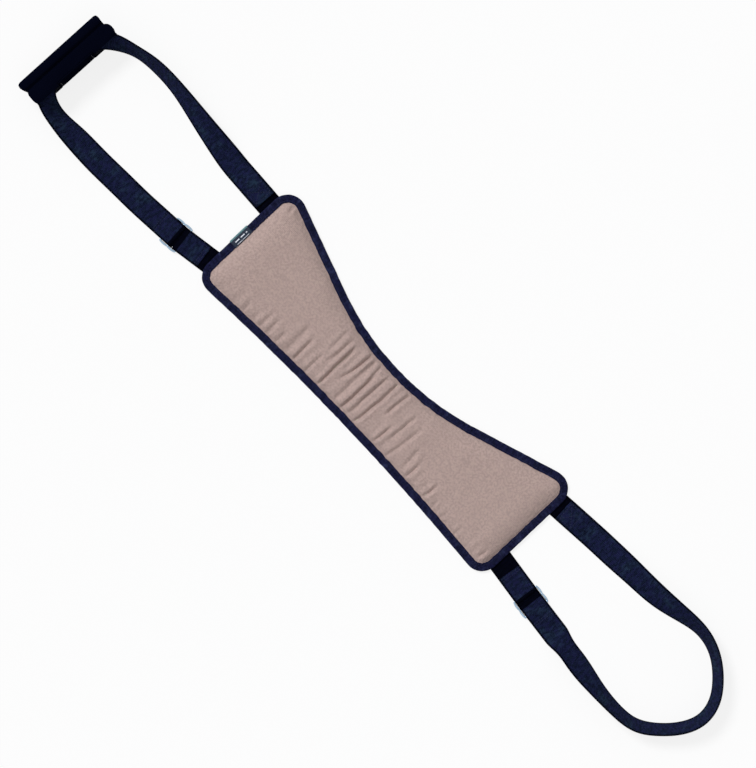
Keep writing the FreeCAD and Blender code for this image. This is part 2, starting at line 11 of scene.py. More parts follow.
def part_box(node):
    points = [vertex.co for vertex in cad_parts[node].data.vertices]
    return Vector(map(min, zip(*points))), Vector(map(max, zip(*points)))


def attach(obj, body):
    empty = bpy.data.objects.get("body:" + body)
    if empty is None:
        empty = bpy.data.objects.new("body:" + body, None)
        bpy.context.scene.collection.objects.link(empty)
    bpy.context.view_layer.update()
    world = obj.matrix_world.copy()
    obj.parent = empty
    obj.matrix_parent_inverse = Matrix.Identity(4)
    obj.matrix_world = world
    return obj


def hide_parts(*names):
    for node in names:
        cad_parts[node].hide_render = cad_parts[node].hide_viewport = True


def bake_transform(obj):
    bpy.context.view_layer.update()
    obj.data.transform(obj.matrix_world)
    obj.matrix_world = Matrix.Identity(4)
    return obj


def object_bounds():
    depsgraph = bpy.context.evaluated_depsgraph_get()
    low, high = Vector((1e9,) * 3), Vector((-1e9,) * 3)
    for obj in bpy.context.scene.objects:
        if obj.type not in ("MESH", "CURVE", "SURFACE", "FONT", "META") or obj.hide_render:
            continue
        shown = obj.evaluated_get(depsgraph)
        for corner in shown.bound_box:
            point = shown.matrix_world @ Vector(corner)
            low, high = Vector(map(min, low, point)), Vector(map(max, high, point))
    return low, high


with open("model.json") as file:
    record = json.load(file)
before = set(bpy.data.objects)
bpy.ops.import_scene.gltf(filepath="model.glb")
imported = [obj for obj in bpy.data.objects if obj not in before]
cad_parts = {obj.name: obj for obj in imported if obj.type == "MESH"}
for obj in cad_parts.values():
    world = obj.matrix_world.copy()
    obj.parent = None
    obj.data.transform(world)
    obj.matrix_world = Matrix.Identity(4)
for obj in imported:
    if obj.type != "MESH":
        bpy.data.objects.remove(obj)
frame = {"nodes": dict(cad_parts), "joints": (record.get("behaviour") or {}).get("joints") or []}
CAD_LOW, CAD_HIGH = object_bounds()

bl_info = {
    "name": "Padded Transfer Belt",
    "version": (1, 0, 0),
    "blender": (4, 5, 0),
    "location": "3D View > Sidebar > Belt",
    "description": "Builds the padded belt, its webbing loops, sliders and grip on the packed frame",
    "category": "Object",
}

# Shapes are worked out in millimetres in the frame's axes, and made into metres as a mesh is written.
MM = 0.001
TAU = 2 * math.pi


def cad_box(node):
    """Lowest and highest corner of a CAD node in millimetres."""
    low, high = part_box(node)
    return np.array(low) / MM, np.array(high) / MM

def eased(share):
    """Smooth step of a share that runs from 0 to 1."""
    return share * share * (3 - 2 * share)

def running_length(points):
    """Distance along a row of points, from 0 at the first one."""
    return np.concatenate([[0.0], np.cumsum(np.linalg.norm(np.diff(points, axis=0), axis=1))])


# ---- sizes taken from the frame ------------------------------------------------------------

PAD_LOW, PAD_HIGH = cad_box("edge_binding")
HALF_LENGTH = PAD_HIGH[0]
BASE_Z = PAD_LOW[2]
BINDING_TOP = PAD_HIGH[2]
PAD_TOP = cad_box("front_cover")[1][2]
HINGE = {joint["child"]: np.array(joint["pos_m"]) / MM for joint in frame["joints"]}
HINGE_X = HINGE["plain_loop"][0]

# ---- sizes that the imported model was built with, unless a comment says otherwise -----------

WAIST_CURVED = 28.0
WAIST_STRAIGHT = 85.0
FLARE_RADIUS = 426.0
FLARE_ANGLE = 18.5
STRAIGHT_RADIUS = 4070.0
CORNER_RADIUS = 28.0
FABRIC_T = 0.8
BINDING_T = 0.8
BINDING_WIDTH = 12.0
CROWN_REACH = 33.0
CROWN_POWER = 2.5
RIM_TOP = BINDING_TOP - BINDING_T

WEB_WIDTH = 38.0
WEB_T = 1.8
LAYER_GAP = 0.05
SEWN_LENGTH = 65.0
BOX_STITCH_LENGTH = 44.0
BOX_STITCH_WIDTH = 28.0

SLIDER_T = 2.6
SLIDER_GAP = 0.2
SLIDER_LENGTH = 30.0
BAR_WIDTH = 3.2
WRAP_SLACK = 1.0
# A fuller fold round a slider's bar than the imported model's, so that it closes the slot
WRAP_RADIUS = 1.9
WRAP_BULGE = 3.0
WRAP_KNEE = 2.9
WRAP_TUCK = 0.8
FOLD_PINCH = 0.99
CREST_RADIUS = 7.2
LAYER_RUN = 9.6
FOLD_START = 7.6
FOLD_LAYER = 30.0
FOLD_GAP = 0.3
TAB_OVERLAP = 4.0
STRAP_DROP = 14.0
FLAT_RUN = 8.0

UPPER_LAYER_Z = WEB_T + SLIDER_GAP + SLIDER_T + SLIDER_GAP + WEB_T / 2
SECOND_LAYER_Z = 1.5 * WEB_T + LAYER_GAP
THIRD_LAYER_Z = SECOND_LAYER_Z + WEB_T + FOLD_GAP
FOLD_RADIUS = (WEB_T + FOLD_GAP) / 2
BAR_PITCH = (SLIDER_LENGTH - BAR_WIDTH) / 2
HALF_WRAP = BAR_WIDTH / 2 + WRAP_SLACK + WEB_T / 2
BAR_CREST = BAR_PITCH + BAR_WIDTH / 2 + 2 * WRAP_SLACK
STRAP_LANDING = BAR_CREST + LAYER_RUN

# A leg's end of the pad, its y at the bend line, and its angle towards the curved side in degrees
LEGS = {
    "grip_curved": (-1, 57.1, 2.5),
    "grip_straight": (-1, -62.5, -9.5),
    "plain_curved": (1, 62.0, 4.8),
    "plain_straight": (1, -55.9, -7.2),
}
# Bend line to the pad-side bar, slider angle, strap angle, start of the fold-back, tail length
SLIDERS = {
    "grip": (48.0, -7.0, -4.5, 9.6, 52.0),
    "plain": (60.0, -6.6, -6.0, 20.0, 30.0),
}
# Loop routes: distance from the bend line, y, tilt in degrees, lift off the floor
GRIP_ROUTE = (
    (102.6, 63.2, 18, 0.0),
    (161.0, 70.3, 44, 0.0),
    (219.4, 77.0, 60, 0.0),
    (260.8, 76.3, 65, 0.0),
    (293.8, 69.6, 69, 1.5),
    (321.8, 57.5, 59, 4.3),
    (345.3, 36.0, 54, 4.3),
    (354.2, 12.0, 54, 4.3),
    (355.6, -25.0, 54, 4.3),
    (350.7, -52.0, 53, 4.3),
    (329.8, -72.5, 48, 4.3),
    (299.8, -80.0, 42, 1.0),
    (263.8, -80.8, 22, 0.0),
    (219.4, -81.0, 8, 0.0),
    (173.8, -79.2, 4, 0.0),
)
PLAIN_ROUTE = (
    (102.6, 69.9, 5, 0.0),
    (145.8, 72.6, 20, 0.0),
    (190.2, 75.4, 30, 0.0),
    (233.8, 82.2, 49, 0.0),
    (273.8, 86.6, 65, 0.0),
    (309.8, 77.2, 73, 0.0),
    (339.8, 55.4, 75, 0.0),
    (360.8, 27.0, 76, 0.0),
    (365.8, -2.0, 75, 0.0),
    (355.8, -30.0, 72, 0.0),
    (333.8, -57.0, 70, 0.0),
    (305.8, -77.0, 66, 0.0),
    (268.8, -83.2, 62, 0.0),
    (223.8, -81.6, 50, 0.0),
    (178.8, -76.6, 36, 0.0),
    (140.8, -72.0, 20, 0.0),
)

GRIP_LENGTH = 152.0
GRIP_DEPTH = 45.0
GRIP_HEIGHT = 42.0
GRIP_FROM_BEND = 353.0
GRIP_CENTRE_Y = -10.5
GRIP_TURN = -1.5
GRIP_BACK_RADIUS = 14.0
GRIP_BACK_X = -19.0         # 3.5 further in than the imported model's
GRIP_GROOVE_X = -1.0        # 7 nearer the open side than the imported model's
GRIP_COVER_T = 1.0
GRIP_FOAM_T = 2.4
GRIP_LINING_T = 0.6
LIP_HEIGHT = 18.0
LIP_LENGTH = 68.0
FLAP_T = 2.6
FLAP_FLOOR_GAP = 3.0
TAPE_T = 1.0
TAPE_HEIGHT = 11.0
TAPE_GAP = 0.2
BEND_GAP = 0.3
FLAP_X = GRIP_DEPTH / 2 - FLAP_T / 2
FLAP_HINGE_Z = GRIP_HEIGHT - FLAP_T / 2
TOP_FRONT_X = FLAP_X - FLAP_T / 2 - BEND_GAP
LIP_FRONT_X = FLAP_X - FLAP_T / 2 - 2 * (TAPE_T + LAYER_GAP) - TAPE_GAP
GRIP_HEADING = math.radians(GRIP_TURN)
GRIP_ORIGIN = np.array([-HINGE_X - GRIP_FROM_BEND, GRIP_CENTRE_Y, 0.0])
GRIP_FORWARD = np.array([math.cos(GRIP_HEADING), math.sin(GRIP_HEADING), 0.0])
GRIP_ALONG = np.array([-math.sin(GRIP_HEADING), math.cos(GRIP_HEADING), 0.0])

# Creases across the pad: x and y of each end, depth, half width. They run from side to side at the waist.
CREASES = (
    (-66, 2, -66, -75, 2.7, 2.1),
    (-41, 17, -44, -20, 2.4, 2.1),
    (-44, -20, -49, -42, 1.8, 2.3),
    (-31, 14, -33, -69, 1.9, 3.2),
    (-21, 17, -18, -18, 1.7, 1.9),
    (-15, -2, -18, -75, 2.1, 2.0),
    (-2, 8, -4, -66, 1.8, 2.1),
    (15, 17, 15, -21, 2.3, 2.1),
    (15, -21, 10, -73, 2.3, 2.1),
    (38, 17, 34, -28, 1.9, 2.1),
    (53, -38, 50, -74, 1.9, 2.0),
    (67, -4, 64, -50, 1.4, 2.2),
    (85, -12, 80, -69, 1.4, 2.4),
    (105, -30, 108, -69, 1.1, 2.6),
    (121, -46, 121, -76, 1.7, 2.2),
    (162, -48, 158, -76, 1.7, 2.3),
    (178, -66, 178, -77, 1.1, 2.2),
    (200, -67, 199, -78, 1.0, 2.2),
    (231, -67, 230, -79, 1.0, 2.3),
    (280, -62, 279, -76, 1.4, 2.0),
    (-76, 8, -79, -36, 1.3, 2.2),
    (-91, 12, -91, -22, 1.1, 2.4),
    (-92, -40, -92, -73, 1.3, 2.2),
    (-117, -34, -117, -76, 1.8, 2.2),
    (-134, -24, -134, -76, 1.2, 3.4),
    (-153, -54, -153, -78, 1.3, 2.3),
    (-172, -50, -171, -78, 1.1, 2.4),
    (-185, -52, -185, -78, 1.1, 2.6),
    (-201, -64, -200, -79, 1.0, 2.4),
    (-219, -64, -218, -80, 0.9, 2.4),
    (-278, 84, -276, 70, 1.3, 2.2),
)


# ---- shader values -------------------------------------------------------------------------

class Value:
    """A shader value. Python arithmetic on it adds Math nodes."""

    def __init__(self, paint, socket):
        self.paint = paint
        self.socket = socket

    def maths(self, operation, *others):
        return self.paint.node("ShaderNodeMath", {"operation": operation}, dict(enumerate((self,) + others)))

    def __add__(self, other):
        return self.maths("ADD", other)

    def __sub__(self, other):
        return self.maths("SUBTRACT", other)

    def __rsub__(self, other):
        return self.paint.node("ShaderNodeMath", {"operation": "SUBTRACT"}, {0: other, 1: self})

    def __mul__(self, other):
        return self.maths("MULTIPLY", other)

    def __truediv__(self, other):
        return self.maths("DIVIDE", other)

    __radd__ = __add__
    __rmul__ = __mul__

    def wave(self, pitch):
        """Sine of this distance, from 0 to 1, that repeats every pitch."""
        return (self * (TAU / pitch)).maths("SINE") * 0.5 + 0.5

    def turns(self, pitch):
        """0 and 1 by turns, changing every pitch."""
        return (self / pitch).maths("FLOOR").maths("MODULO", 2).maths("ABSOLUTE")

    def step(self, low, high):
        """Smooth change from 0 at low to 1 at high."""
        ends = {"Value": self, "From Min": low, "From Max": high}
        return self.paint.node("ShaderNodeMapRange", {"interpolation_type": "SMOOTHSTEP"}, ends)


class Paint:
    """Node tree of one material, or of the world when that is given."""

    def __init__(self, name, world=None):
        self.owner = world or bpy.data.materials.new(name)
        self.owner.use_nodes = True
        self.tree = self.owner.node_tree
        self.tree.nodes.clear()

    def node(self, kind, settings, sockets, output=0):
        """Adds a node: its settings first, then the values or links of its sockets."""
        made = self.tree.nodes.new(kind)
        for key, value in settings.items():
            setattr(made, key, value)
        for key, value in sockets.items():
            if isinstance(value, Value):
                self.tree.links.new(value.socket, made.inputs[key])
            else:
                made.inputs[key].default_value = value
        return Value(self, made.outputs[output] if len(made.outputs) else None)

    def place(self):
        return self.node("ShaderNodeTexCoord", {}, {}, "Object")

    def parts(self, vector):
        split = self.node("ShaderNodeSeparateXYZ", {}, {0: vector})
        return [Value(self, socket) for socket in split.socket.node.outputs]

    def along_across(self):
        """Distances along and across a strap, in metres, from its own UV map."""
        along, across, _ = self.parts(self.node("ShaderNodeTexCoord", {}, {}, "UV"))
        return along, across

    def noise(self, vector, scale, detail=2.0, roughness=0.5):
        sockets = {"Vector": vector, "Scale": scale, "Detail": detail, "Roughness": roughness}
        return self.node("ShaderNodeTexNoise", {}, sockets)

    def cells(self, vector, scale):
        return self.node("ShaderNodeTexVoronoi", {}, {"Vector": vector, "Scale": scale})

    def mix(self, share, first, second):
        return self.node("ShaderNodeMix", {"data_type": "RGBA"}, {0: share, 6: first, 7: second}, 2)

    def seen_straight(self):
        """1 for the rays that see the background itself: camera, glossy and transmission rays."""
        kinds = ("Is Camera Ray", "Is Glossy Ray", "Is Transmission Ray")
        camera, glossy, through = [self.node("ShaderNodeLightPath", {}, {}, kind) for kind in kinds]
        return camera.maths("MAXIMUM", glossy).maths("MAXIMUM", through)

    def finish(self, colour, roughness, height=None, depth=0.0, **constants):
        """Principled shader with a bump of the given depth in metres; constants name plain sockets."""
        sockets = {"Base Color": colour, "Roughness": roughness}
        for key, value in constants.items():
            sockets[key.replace("_", " ").title().replace("Ior", "IOR")] = value
        if height is not None:
            sockets["Normal"] = self.node("ShaderNodeBump", {}, {"Height": height, "Distance": depth})
        shader = self.node("ShaderNodeBsdfPrincipled", {}, sockets)
        self.node("ShaderNodeOutputMaterial", {}, {"Surface": shader})
        return self.owner


def shade(colour, factor):
    """A colour made lighter or darker, as a socket value."""
    return tuple(min(1.0, channel * factor) for channel in colour[:3]) + (1.0,)


# ---- materials -----------------------------------------------------------------------------

def pad_fabric(name, colour, rib_pitch):
    """Brushed pile with fine ribs, soft clouds and a heathered fibre."""
    paint = Paint(name)
    place = paint.place()
    x, y, _ = paint.parts(place)
    ribs = x.wave(rib_pitch)
    picks = (y + x.wave(2 * rib_pitch) * (0.3 * rib_pitch)).wave(1.3 * rib_pitch)
    fibre = paint.noise(place, 950.0, 2.0, 0.7)
    heather = paint.noise(place, 330.0, 2.0, 0.6)
    cloud = paint.noise(place, 30.0, 3.0, 0.6)
    tone = paint.mix(heather.step(0.36, 0.64), shade(colour, 0.83), shade(colour, 1.15))
    tone = paint.mix(fibre.step(0.35, 0.65) * 0.3, tone, shade(colour, 0.8))
    tone = paint.mix((1 - (ribs * picks).step(0.0, 0.4)) * 0.26, tone, shade(colour, 0.62))
    tone = paint.mix(cloud.step(0.38, 0.68) * 0.35, tone, shade(colour, 0.88))
    height = ribs * picks * 0.7 + fibre * 0.4 + heather * 0.6
    return paint.finish(tone, 0.95, height, 0.0007, sheen_weight=0.12, sheen_roughness=0.5,
                        specular_ior_level=0.05)


def webbing(name, colour, tint, pitch, mottle, painted_shade_span=None):
    """Woven tape: ribs that step by turns from column to column, plain selvedges and a tint in patches.

    The stretch between two given distances along the tape is darkened towards near black as painted shade,
    for the shade in a slider's slot and under the layers above it.
    """
    paint = Paint(name)
    along, across = paint.along_across()
    column = across.turns(1.6 * pitch)
    ribs = (along + column * (0.5 * pitch)).wave(pitch)
    edge = across.maths("ABSOLUTE").step((WEB_WIDTH / 2 - 3.8) * MM, (WEB_WIDTH / 2 - 2.3) * MM)
    valley = across.wave(1.6 * pitch).step(0.0, 0.45)
    fibre = paint.noise(paint.place(), 420.0, 3.0, 0.7)
    patch = paint.noise(paint.place(), mottle, 3.0, 0.6)
    grain = paint.node("ShaderNodeCombineXYZ", {}, {0: along, 1: across * 0.4})
    worn = paint.noise(grain, 230.0, 2.0, 0.6)
    weave = ribs * (1 - edge) * valley + edge * (along.wave(0.5 * pitch) * 0.4 + 0.3)
    tone = paint.mix(patch.step(0.49, 0.72), shade(colour, 1.25), shade(tint, 1.25))
    tone = paint.mix(worn.step(0.4, 0.6) * 0.85, tone, shade(colour, 0.3))
    tone = paint.mix(weave.step(0.1, 0.9) * 0.4, tone, shade(tint, 1.7))
    tone = paint.mix(fibre.step(0.4, 0.65) * 0.2, tone, shade(tint, 1.9))
    tone = paint.mix(edge * 0.85, tone, shade(colour, 0.06))
    # Painted shade: near-black darkening between the two given distances along the tape
    if painted_shade_span:
        low, high = painted_shade_span
        painted_shade = along.step(low - 0.001, low) * (1 - along.step(high, high + 0.001))
        tone = paint.mix(painted_shade * 0.93, tone, shade(colour, 0.05))
    rough = 0.7 - fibre * 0.12 + worn * 0.1
    return paint.finish(tone, rough, weave + fibre * 0.3, 0.0004, specular_ior_level=0.01)


def plain_weave(name, colour, pitch, depth, roughness=0.8, contrast=0.3):
    """Plain-woven cloth on the object's own coordinates, worn a little in clouds."""
    paint = Paint(name)
    place = paint.place()
    x, y, z = paint.parts(place)
    warp = (x + z * 0.7).wave(pitch)
    weft = (y - z * 0.4).wave(pitch)
    check = warp * weft + (1 - warp) * (1 - weft)
    fibre = paint.noise(place, 800.0, 3.0, 0.6)
    cloud = paint.noise(place, 30.0, 3.0, 0.5)
    tone = paint.mix(check.step(0.1, 0.9), shade(colour, 1 - contrast), shade(colour, 1 + contrast))
    tone = paint.mix(cloud.step(0.4, 0.7) * 0.3, tone, shade(colour, 1.4))
    return paint.finish(tone, roughness + fibre * 0.1, check + fibre * 0.4, depth, specular_ior_level=0.0)


def foam_finish(name, colour):
    """Open-cell foam."""
    paint = Paint(name)
    place = paint.place()
    pores = paint.cells(place, 850.0)
    cloud = paint.noise(place, 40.0)
    tone = paint.mix(pores.step(0.05, 0.4), shade(colour, 0.6), shade(colour, 1.0))
    tone = paint.mix(cloud.step(0.4, 0.7) * 0.2, tone, shade(colour, 0.85))
    return paint.finish(tone, 0.95, pores, 0.0006, specular_ior_level=0.1)


def nickel(name, colour):
    """Plated metal with fine handling marks and a duller film in places."""
    paint = Paint(name)
    place = paint.place()
    smear = paint.noise(place, 120.0, 3.0, 0.6)
    scratch = paint.noise(place, 1400.0, 2.0, 0.7)
    tone = paint.mix(smear.step(0.35, 0.7), shade(colour, 1.0), shade(colour, 0.82))
    return paint.finish(tone, 0.2 + smear * 0.16 + scratch * 0.06, scratch, 0.00003, metallic=1.0)


def thread_finish(name, colour):
    """Twisted sewing thread."""
    paint = Paint(name)
    place = paint.place()
    x, y, _ = paint.parts(place)
    twist = (x + y * 0.6).wave(0.0006)
    tone = paint.mix(twist, shade(colour, 0.6), shade(colour, 1.5))
    return paint.finish(tone, 0.5, twist, 0.0001, specular_ior_level=0.15)


def label_cloth(name, colour, mark, edge):
    """Satin tape with one broken stripe, one thin line and a pale selvedge at its fold."""
    paint = Paint(name)
    along, across = paint.along_across()
    x, _, z = paint.parts(paint.place())
    satin = along.wave(0.0005) * 0.5 + across.wave(0.0007) * 0.5
    near = x + HALF_LENGTH * MM
    stripe = near.step(0.0050, 0.0056) - near.step(0.0066, 0.0072)
    broken = across.wave(0.0105).step(0.12, 0.2)
    middle = 1 - across.maths("ABSOLUTE").step(0.0112, 0.012)
    thin = near.step(0.0100, 0.0103) - near.step(0.0108, 0.0111)
    fold = 1 - near.step(0.0006, 0.0022)
    upper = z.step((BINDING_TOP - 0.5) * MM, BINDING_TOP * MM)
    tone = paint.mix(satin, shade(colour, 0.8), shade(colour, 1.2))
    tone = paint.mix(fold * 0.8, tone, edge)
    tone = paint.mix(stripe * broken * middle * upper, tone, mark)
    tone = paint.mix(thin * middle * upper * 0.8, tone, mark)
    return paint.finish(tone, 0.45, satin, 0.0001, specular_ior_level=0.2)


# ---- meshes --------------------------------------------------------------------------------

def new_piece(name, points, faces, material, uvs=None, angle=50.0):
    """Object from points in millimetres, with outward normals and an optional UV per point."""
    mesh = bpy.data.meshes.new(name)
    mesh.from_pydata((np.asarray(points, float) * MM).tolist(), [], faces)
    if uvs is not None:
        layer = mesh.uv_layers.new(name="UVMap")
        index = np.empty(len(mesh.loops), dtype=np.int32)
        mesh.loops.foreach_get("vertex_index", index)
        layer.data.foreach_set("uv", (np.asarray(uvs, float) * MM)[index].astype(np.float32).ravel())
    sheet = bmesh.new()
    sheet.from_mesh(mesh)
    bmesh.ops.recalc_face_normals(sheet, faces=sheet.faces)
    sheet.to_mesh(mesh)
    sheet.free()
    mesh.materials.append(material)
    piece = bpy.data.objects.new(name, mesh)
    bpy.context.scene.collection.objects.link(piece)
    bpy.ops.object.select_all(action="DESELECT")
    piece.select_set(True)
    bpy.context.view_layer.objects.active = piece
    bpy.ops.object.shade_smooth_by_angle(angle=math.radians(angle))
    piece.select_set(False)
    return piece


def joined(parts):
    """Points, faces and UVs of several shells as one."""
    points, faces, uvs, base = [], [], [], 0
    for part_points, part_faces, part_uvs in parts:
        points.append(part_points)
        uvs.append(part_uvs)
        faces += [tuple(base + i for i in face) for face in part_faces]
        base += len(part_points)
    return np.concatenate(points), faces, np.concatenate(uvs)


def settle(piece, body, nodes=()):
    """Hides the CAD nodes that a piece stands for, and attaches it to the body that it rides on."""
    if nodes:
        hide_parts(*nodes)
    if body:
        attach(piece, body)
    return piece


def tube_faces(rings, sides, closed=False):
    """Quads between rings of points, with flat caps unless the rings close on themselves."""
    faces = []
    for i in range(rings if closed else rings - 1):
        a, b = i * sides, ((i + 1) % rings) * sides
        for j in range(sides):
            k = (j + 1) % sides
            faces.append((a + j, a + k, b + k, b + j))
    if not closed:
        faces.append(tuple(range(sides)))
        faces.append(tuple((rings - 1) * sides + j for j in reversed(range(sides))))
    return faces


def swept(path, section, scale=None):
    """Shell from a path of (places, widths, normals) and a closed section of (across, up)."""
    places, widths, normals = path
    section = np.asarray(section, float)
    if scale is None:
        scale = np.ones((len(places), 2))
    across = section[None, :, 0] * scale[:, None, 0]
    up = section[None, :, 1] * scale[:, None, 1]
    points = places[:, None, :] + across[..., None] * widths[:, None, :] + up[..., None] * normals[:, None, :]
    run = running_length(places)
    uvs = np.stack([np.repeat(run[:, None], len(section), 1), across], axis=-1)
    return points.reshape(-1, 3), tube_faces(len(places), len(section)), uvs.reshape(-1, 2)


def run_at(path, place):
    """Distance along a path to its point nearest a place."""
    return running_length(path[0])[np.argmin(np.linalg.norm(path[0] - place, axis=1))]


def web_section(width=WEB_WIDTH, thickness=WEB_T, groove=0.2, columns=9):
    """Flat section with rounded selvedges and a shallow groove beside each."""
    half, radius = width / 2, thickness / 2
    ends = np.array([0.0, 1.0, 2.0, 2.8]) + radius
    inner = np.linspace(-(half - ends[-1]), half - ends[-1], columns)
    line = np.concatenate([-(half - ends), inner[1:-1], (half - ends)[::-1]])
    drop = groove * np.exp(-((np.abs(line) - (half - radius - 2.0)) / 0.7) ** 2)
    top = [(w, radius - d) for w, d in zip(line, drop)]
    turn = [math.radians(a) for a in (60, 30, 0, -30, -60)]
    right = [(half - radius + radius * math.cos(a), radius * math.sin(a)) for a in turn]
    return top + right + [(w, -n) for w, n in reversed(top)] + [(-w, n) for w, n in reversed(right)]


# ---- outline of the pad --------------------------------------------------------------------

def arc_points(centre, radius, start, end, step):
    count = max(2, int(abs(end - start) * radius / step) + 1)
    angles = np.linspace(start, end, count)
    ray = np.stack([np.cos(angles), np.sin(angles)], axis=1)
    return np.array(centre) + radius * ray, ray


def line_points(a, b, outward, step):
    count = max(2, int(np.linalg.norm(np.subtract(b, a)) / step) + 1)
    share = np.linspace(0, 1, count)[:, None]
    return np.array(a) * (1 - share) + np.array(b) * share, np.tile(outward, (count, 1))


def half_outline(inset, step):
    """Curved side and straight side of the right half, as points and outward directions."""
    slope = math.radians(FLARE_ANGLE)
    corner = CORNER_RADIUS - inset
    end = HALF_LENGTH - inset
    waist = np.array([0.0, WAIST_CURVED + FLARE_RADIUS])
    bowl, ray = arc_points(waist, FLARE_RADIUS + inset, -math.pi / 2, slope - math.pi / 2, step)
    side = np.array([math.cos(slope), math.sin(slope)])
    outward = np.array([-side[1], side[0]])
    run = (end - corner - corner * side[1] - bowl[-1][0]) / side[0]
    flare, flare_out = line_points(bowl[-1], bowl[-1] + side * run, outward, step)
    upper = flare[-1] - outward * corner
    upper_arc, upper_out = arc_points(upper, corner, math.pi / 2 + slope, 0.0, step / 2)
    hollow = np.array([0.0, -WAIST_STRAIGHT - STRAIGHT_RADIUS])
    reach = STRAIGHT_RADIUS + inset
    lower = np.array([end - corner, hollow[1] + math.sqrt((reach + corner) ** 2 - (end - corner) ** 2)])
    last = hollow + (lower - hollow) * (reach / (reach + corner))
    edge, edge_out = line_points((end, upper[1]), (end, lower[1]), (1.0, 0.0), step)
    turn = math.atan2(last[1] - lower[1], last[0] - lower[0])
    lower_arc, lower_out = arc_points(lower, corner, 0.0, turn, step / 2)
    lean = math.atan2(last[1] - hollow[1], last[0] - hollow[0])
    straight, straight_ray = arc_points(hollow, reach, lean, math.pi / 2, step)
    curved = [(bowl, -ray), (flare[1:], flare_out[1:]), (upper_arc[1:], upper_out[1:])]
    below = [(edge[1:], edge_out[1:]), (lower_arc[1:], lower_out[1:]), (straight[1:], -straight_ray[1:])]
    return [tuple(np.concatenate(column) for column in zip(*pieces)) for pieces in (curved, below)]


def outline(inset, step):
    """Closed outline of the pad and its outward directions."""
    (upper, upper_out), (lower, lower_out) = half_outline(inset, step)
    right = np.concatenate([upper, lower])
    right_out = np.concatenate([upper_out, lower_out])
    flip = np.array([-1.0, 1.0])
    return (np.concatenate([right, (right[1:-1] * flip)[::-1]]),
            np.concatenate([right_out, (right_out[1:-1] * flip)[::-1]]))


def span(x, inset):
    """Lowest and highest y of the inset pad at each x."""
    (upper, _), (lower, _) = half_outline(inset, 1.0)
    high = np.interp(np.abs(x), upper[:, 0], upper[:, 1])
    corner = lower[np.argmax(lower[:, 0] < upper[-1, 0] - 1e-9):][::-1]
    low = np.interp(np.abs(x), corner[:, 0], corner[:, 1])
    return low, high


def side_distance(x, y):
    """Distance from the pad's edge, with its fold lines at the corners smoothed away."""
    edge, _ = outline(0.0, 1.0)
    tree = kdtree.KDTree(len(edge))
    for i, (px, py) in enumerate(edge):
        tree.insert((px, py, 0.0), i)
    tree.balance()
    true = np.array([tree.find((px, py, 0.0))[2] for px, py in zip(x.ravel(), y.ravel())]).reshape(x.shape)
    slope = math.radians(FLARE_ANGLE)
    waist_y = WAIST_CURVED + FLARE_RADIUS
    far = np.abs(x)
    round_side = np.hypot(far, y - waist_y) - FLARE_RADIUS
    flat_side = far * math.sin(slope) + (waist_y - y) * math.cos(slope) - FLARE_RADIUS
    curved = np.where(np.arctan2(far, waist_y - y) < slope, round_side, flat_side)
    straight = np.hypot(x, y + WAIST_STRAIGHT + STRAIGHT_RADIUS) - STRAIGHT_RADIUS
    soft = 6.0
    total = sum(np.exp(-side / soft) for side in (curved, straight, HALF_LENGTH - far))
    smooth = -soft * np.log(total)
    share = eased(np.clip((true - 14.0) / 14.0, 0, 1))
    return true * (1 - share) + smooth * share


def soft_noise(x, y, size, seed):
    """Smooth noise from -1 to 1 whose lumps are about size across."""
    flat = [noise.noise((px / size, py / size, seed)) for px, py in zip(x.ravel(), y.ravel())]
    return np.array(flat).reshape(x.shape)


def pad_grid(inset, columns, rows):
    """Grid of x and y over the pad inside an inset, closer together towards the ends."""
    end = HALF_LENGTH - inset
    share = np.linspace(-1, 1, columns)
    x = end * np.sign(share) * (1 - (1 - np.abs(share)) ** 1.12)
    low, high = span(x, inset)
    across = np.linspace(0, 1, rows)
    across = 0.5 - 0.5 * np.cos(np.pi * across) * (0.35 + 0.65 * np.abs(2 * across - 1))
    across[0], across[-1] = 0.0, 1.0
    across = np.sort(across)
    y = low[:, None] * (1 - across) + high[:, None] * across
    return np.repeat(x[:, None], rows, 1), y


def slab(x, y, low, high):
    """Closed solid between two height fields over one grid."""
    columns, rows = x.shape
    count = columns * rows
    points = np.concatenate([np.stack([x, y, z], -1).reshape(-1, 3) for z in (high, low)])
    grid = np.arange(count).reshape(columns, rows)
    a, b, c, d = grid[:-1, :-1], grid[1:, :-1], grid[1:, 1:], grid[:-1, 1:]
    top = np.stack([a, b, c, d], -1).reshape(-1, 4)
    bottom = np.stack([d, c, b, a], -1).reshape(-1, 4) + count
    rim = np.concatenate([grid[:, 0], grid[-1, 1:], grid[-2::-1, -1], grid[0, -2:0:-1]])
    after = np.roll(rim, -1)
    wall = np.stack([rim, rim + count, after + count, after], -1)
    return points, np.concatenate([top, bottom, wall]).tolist()


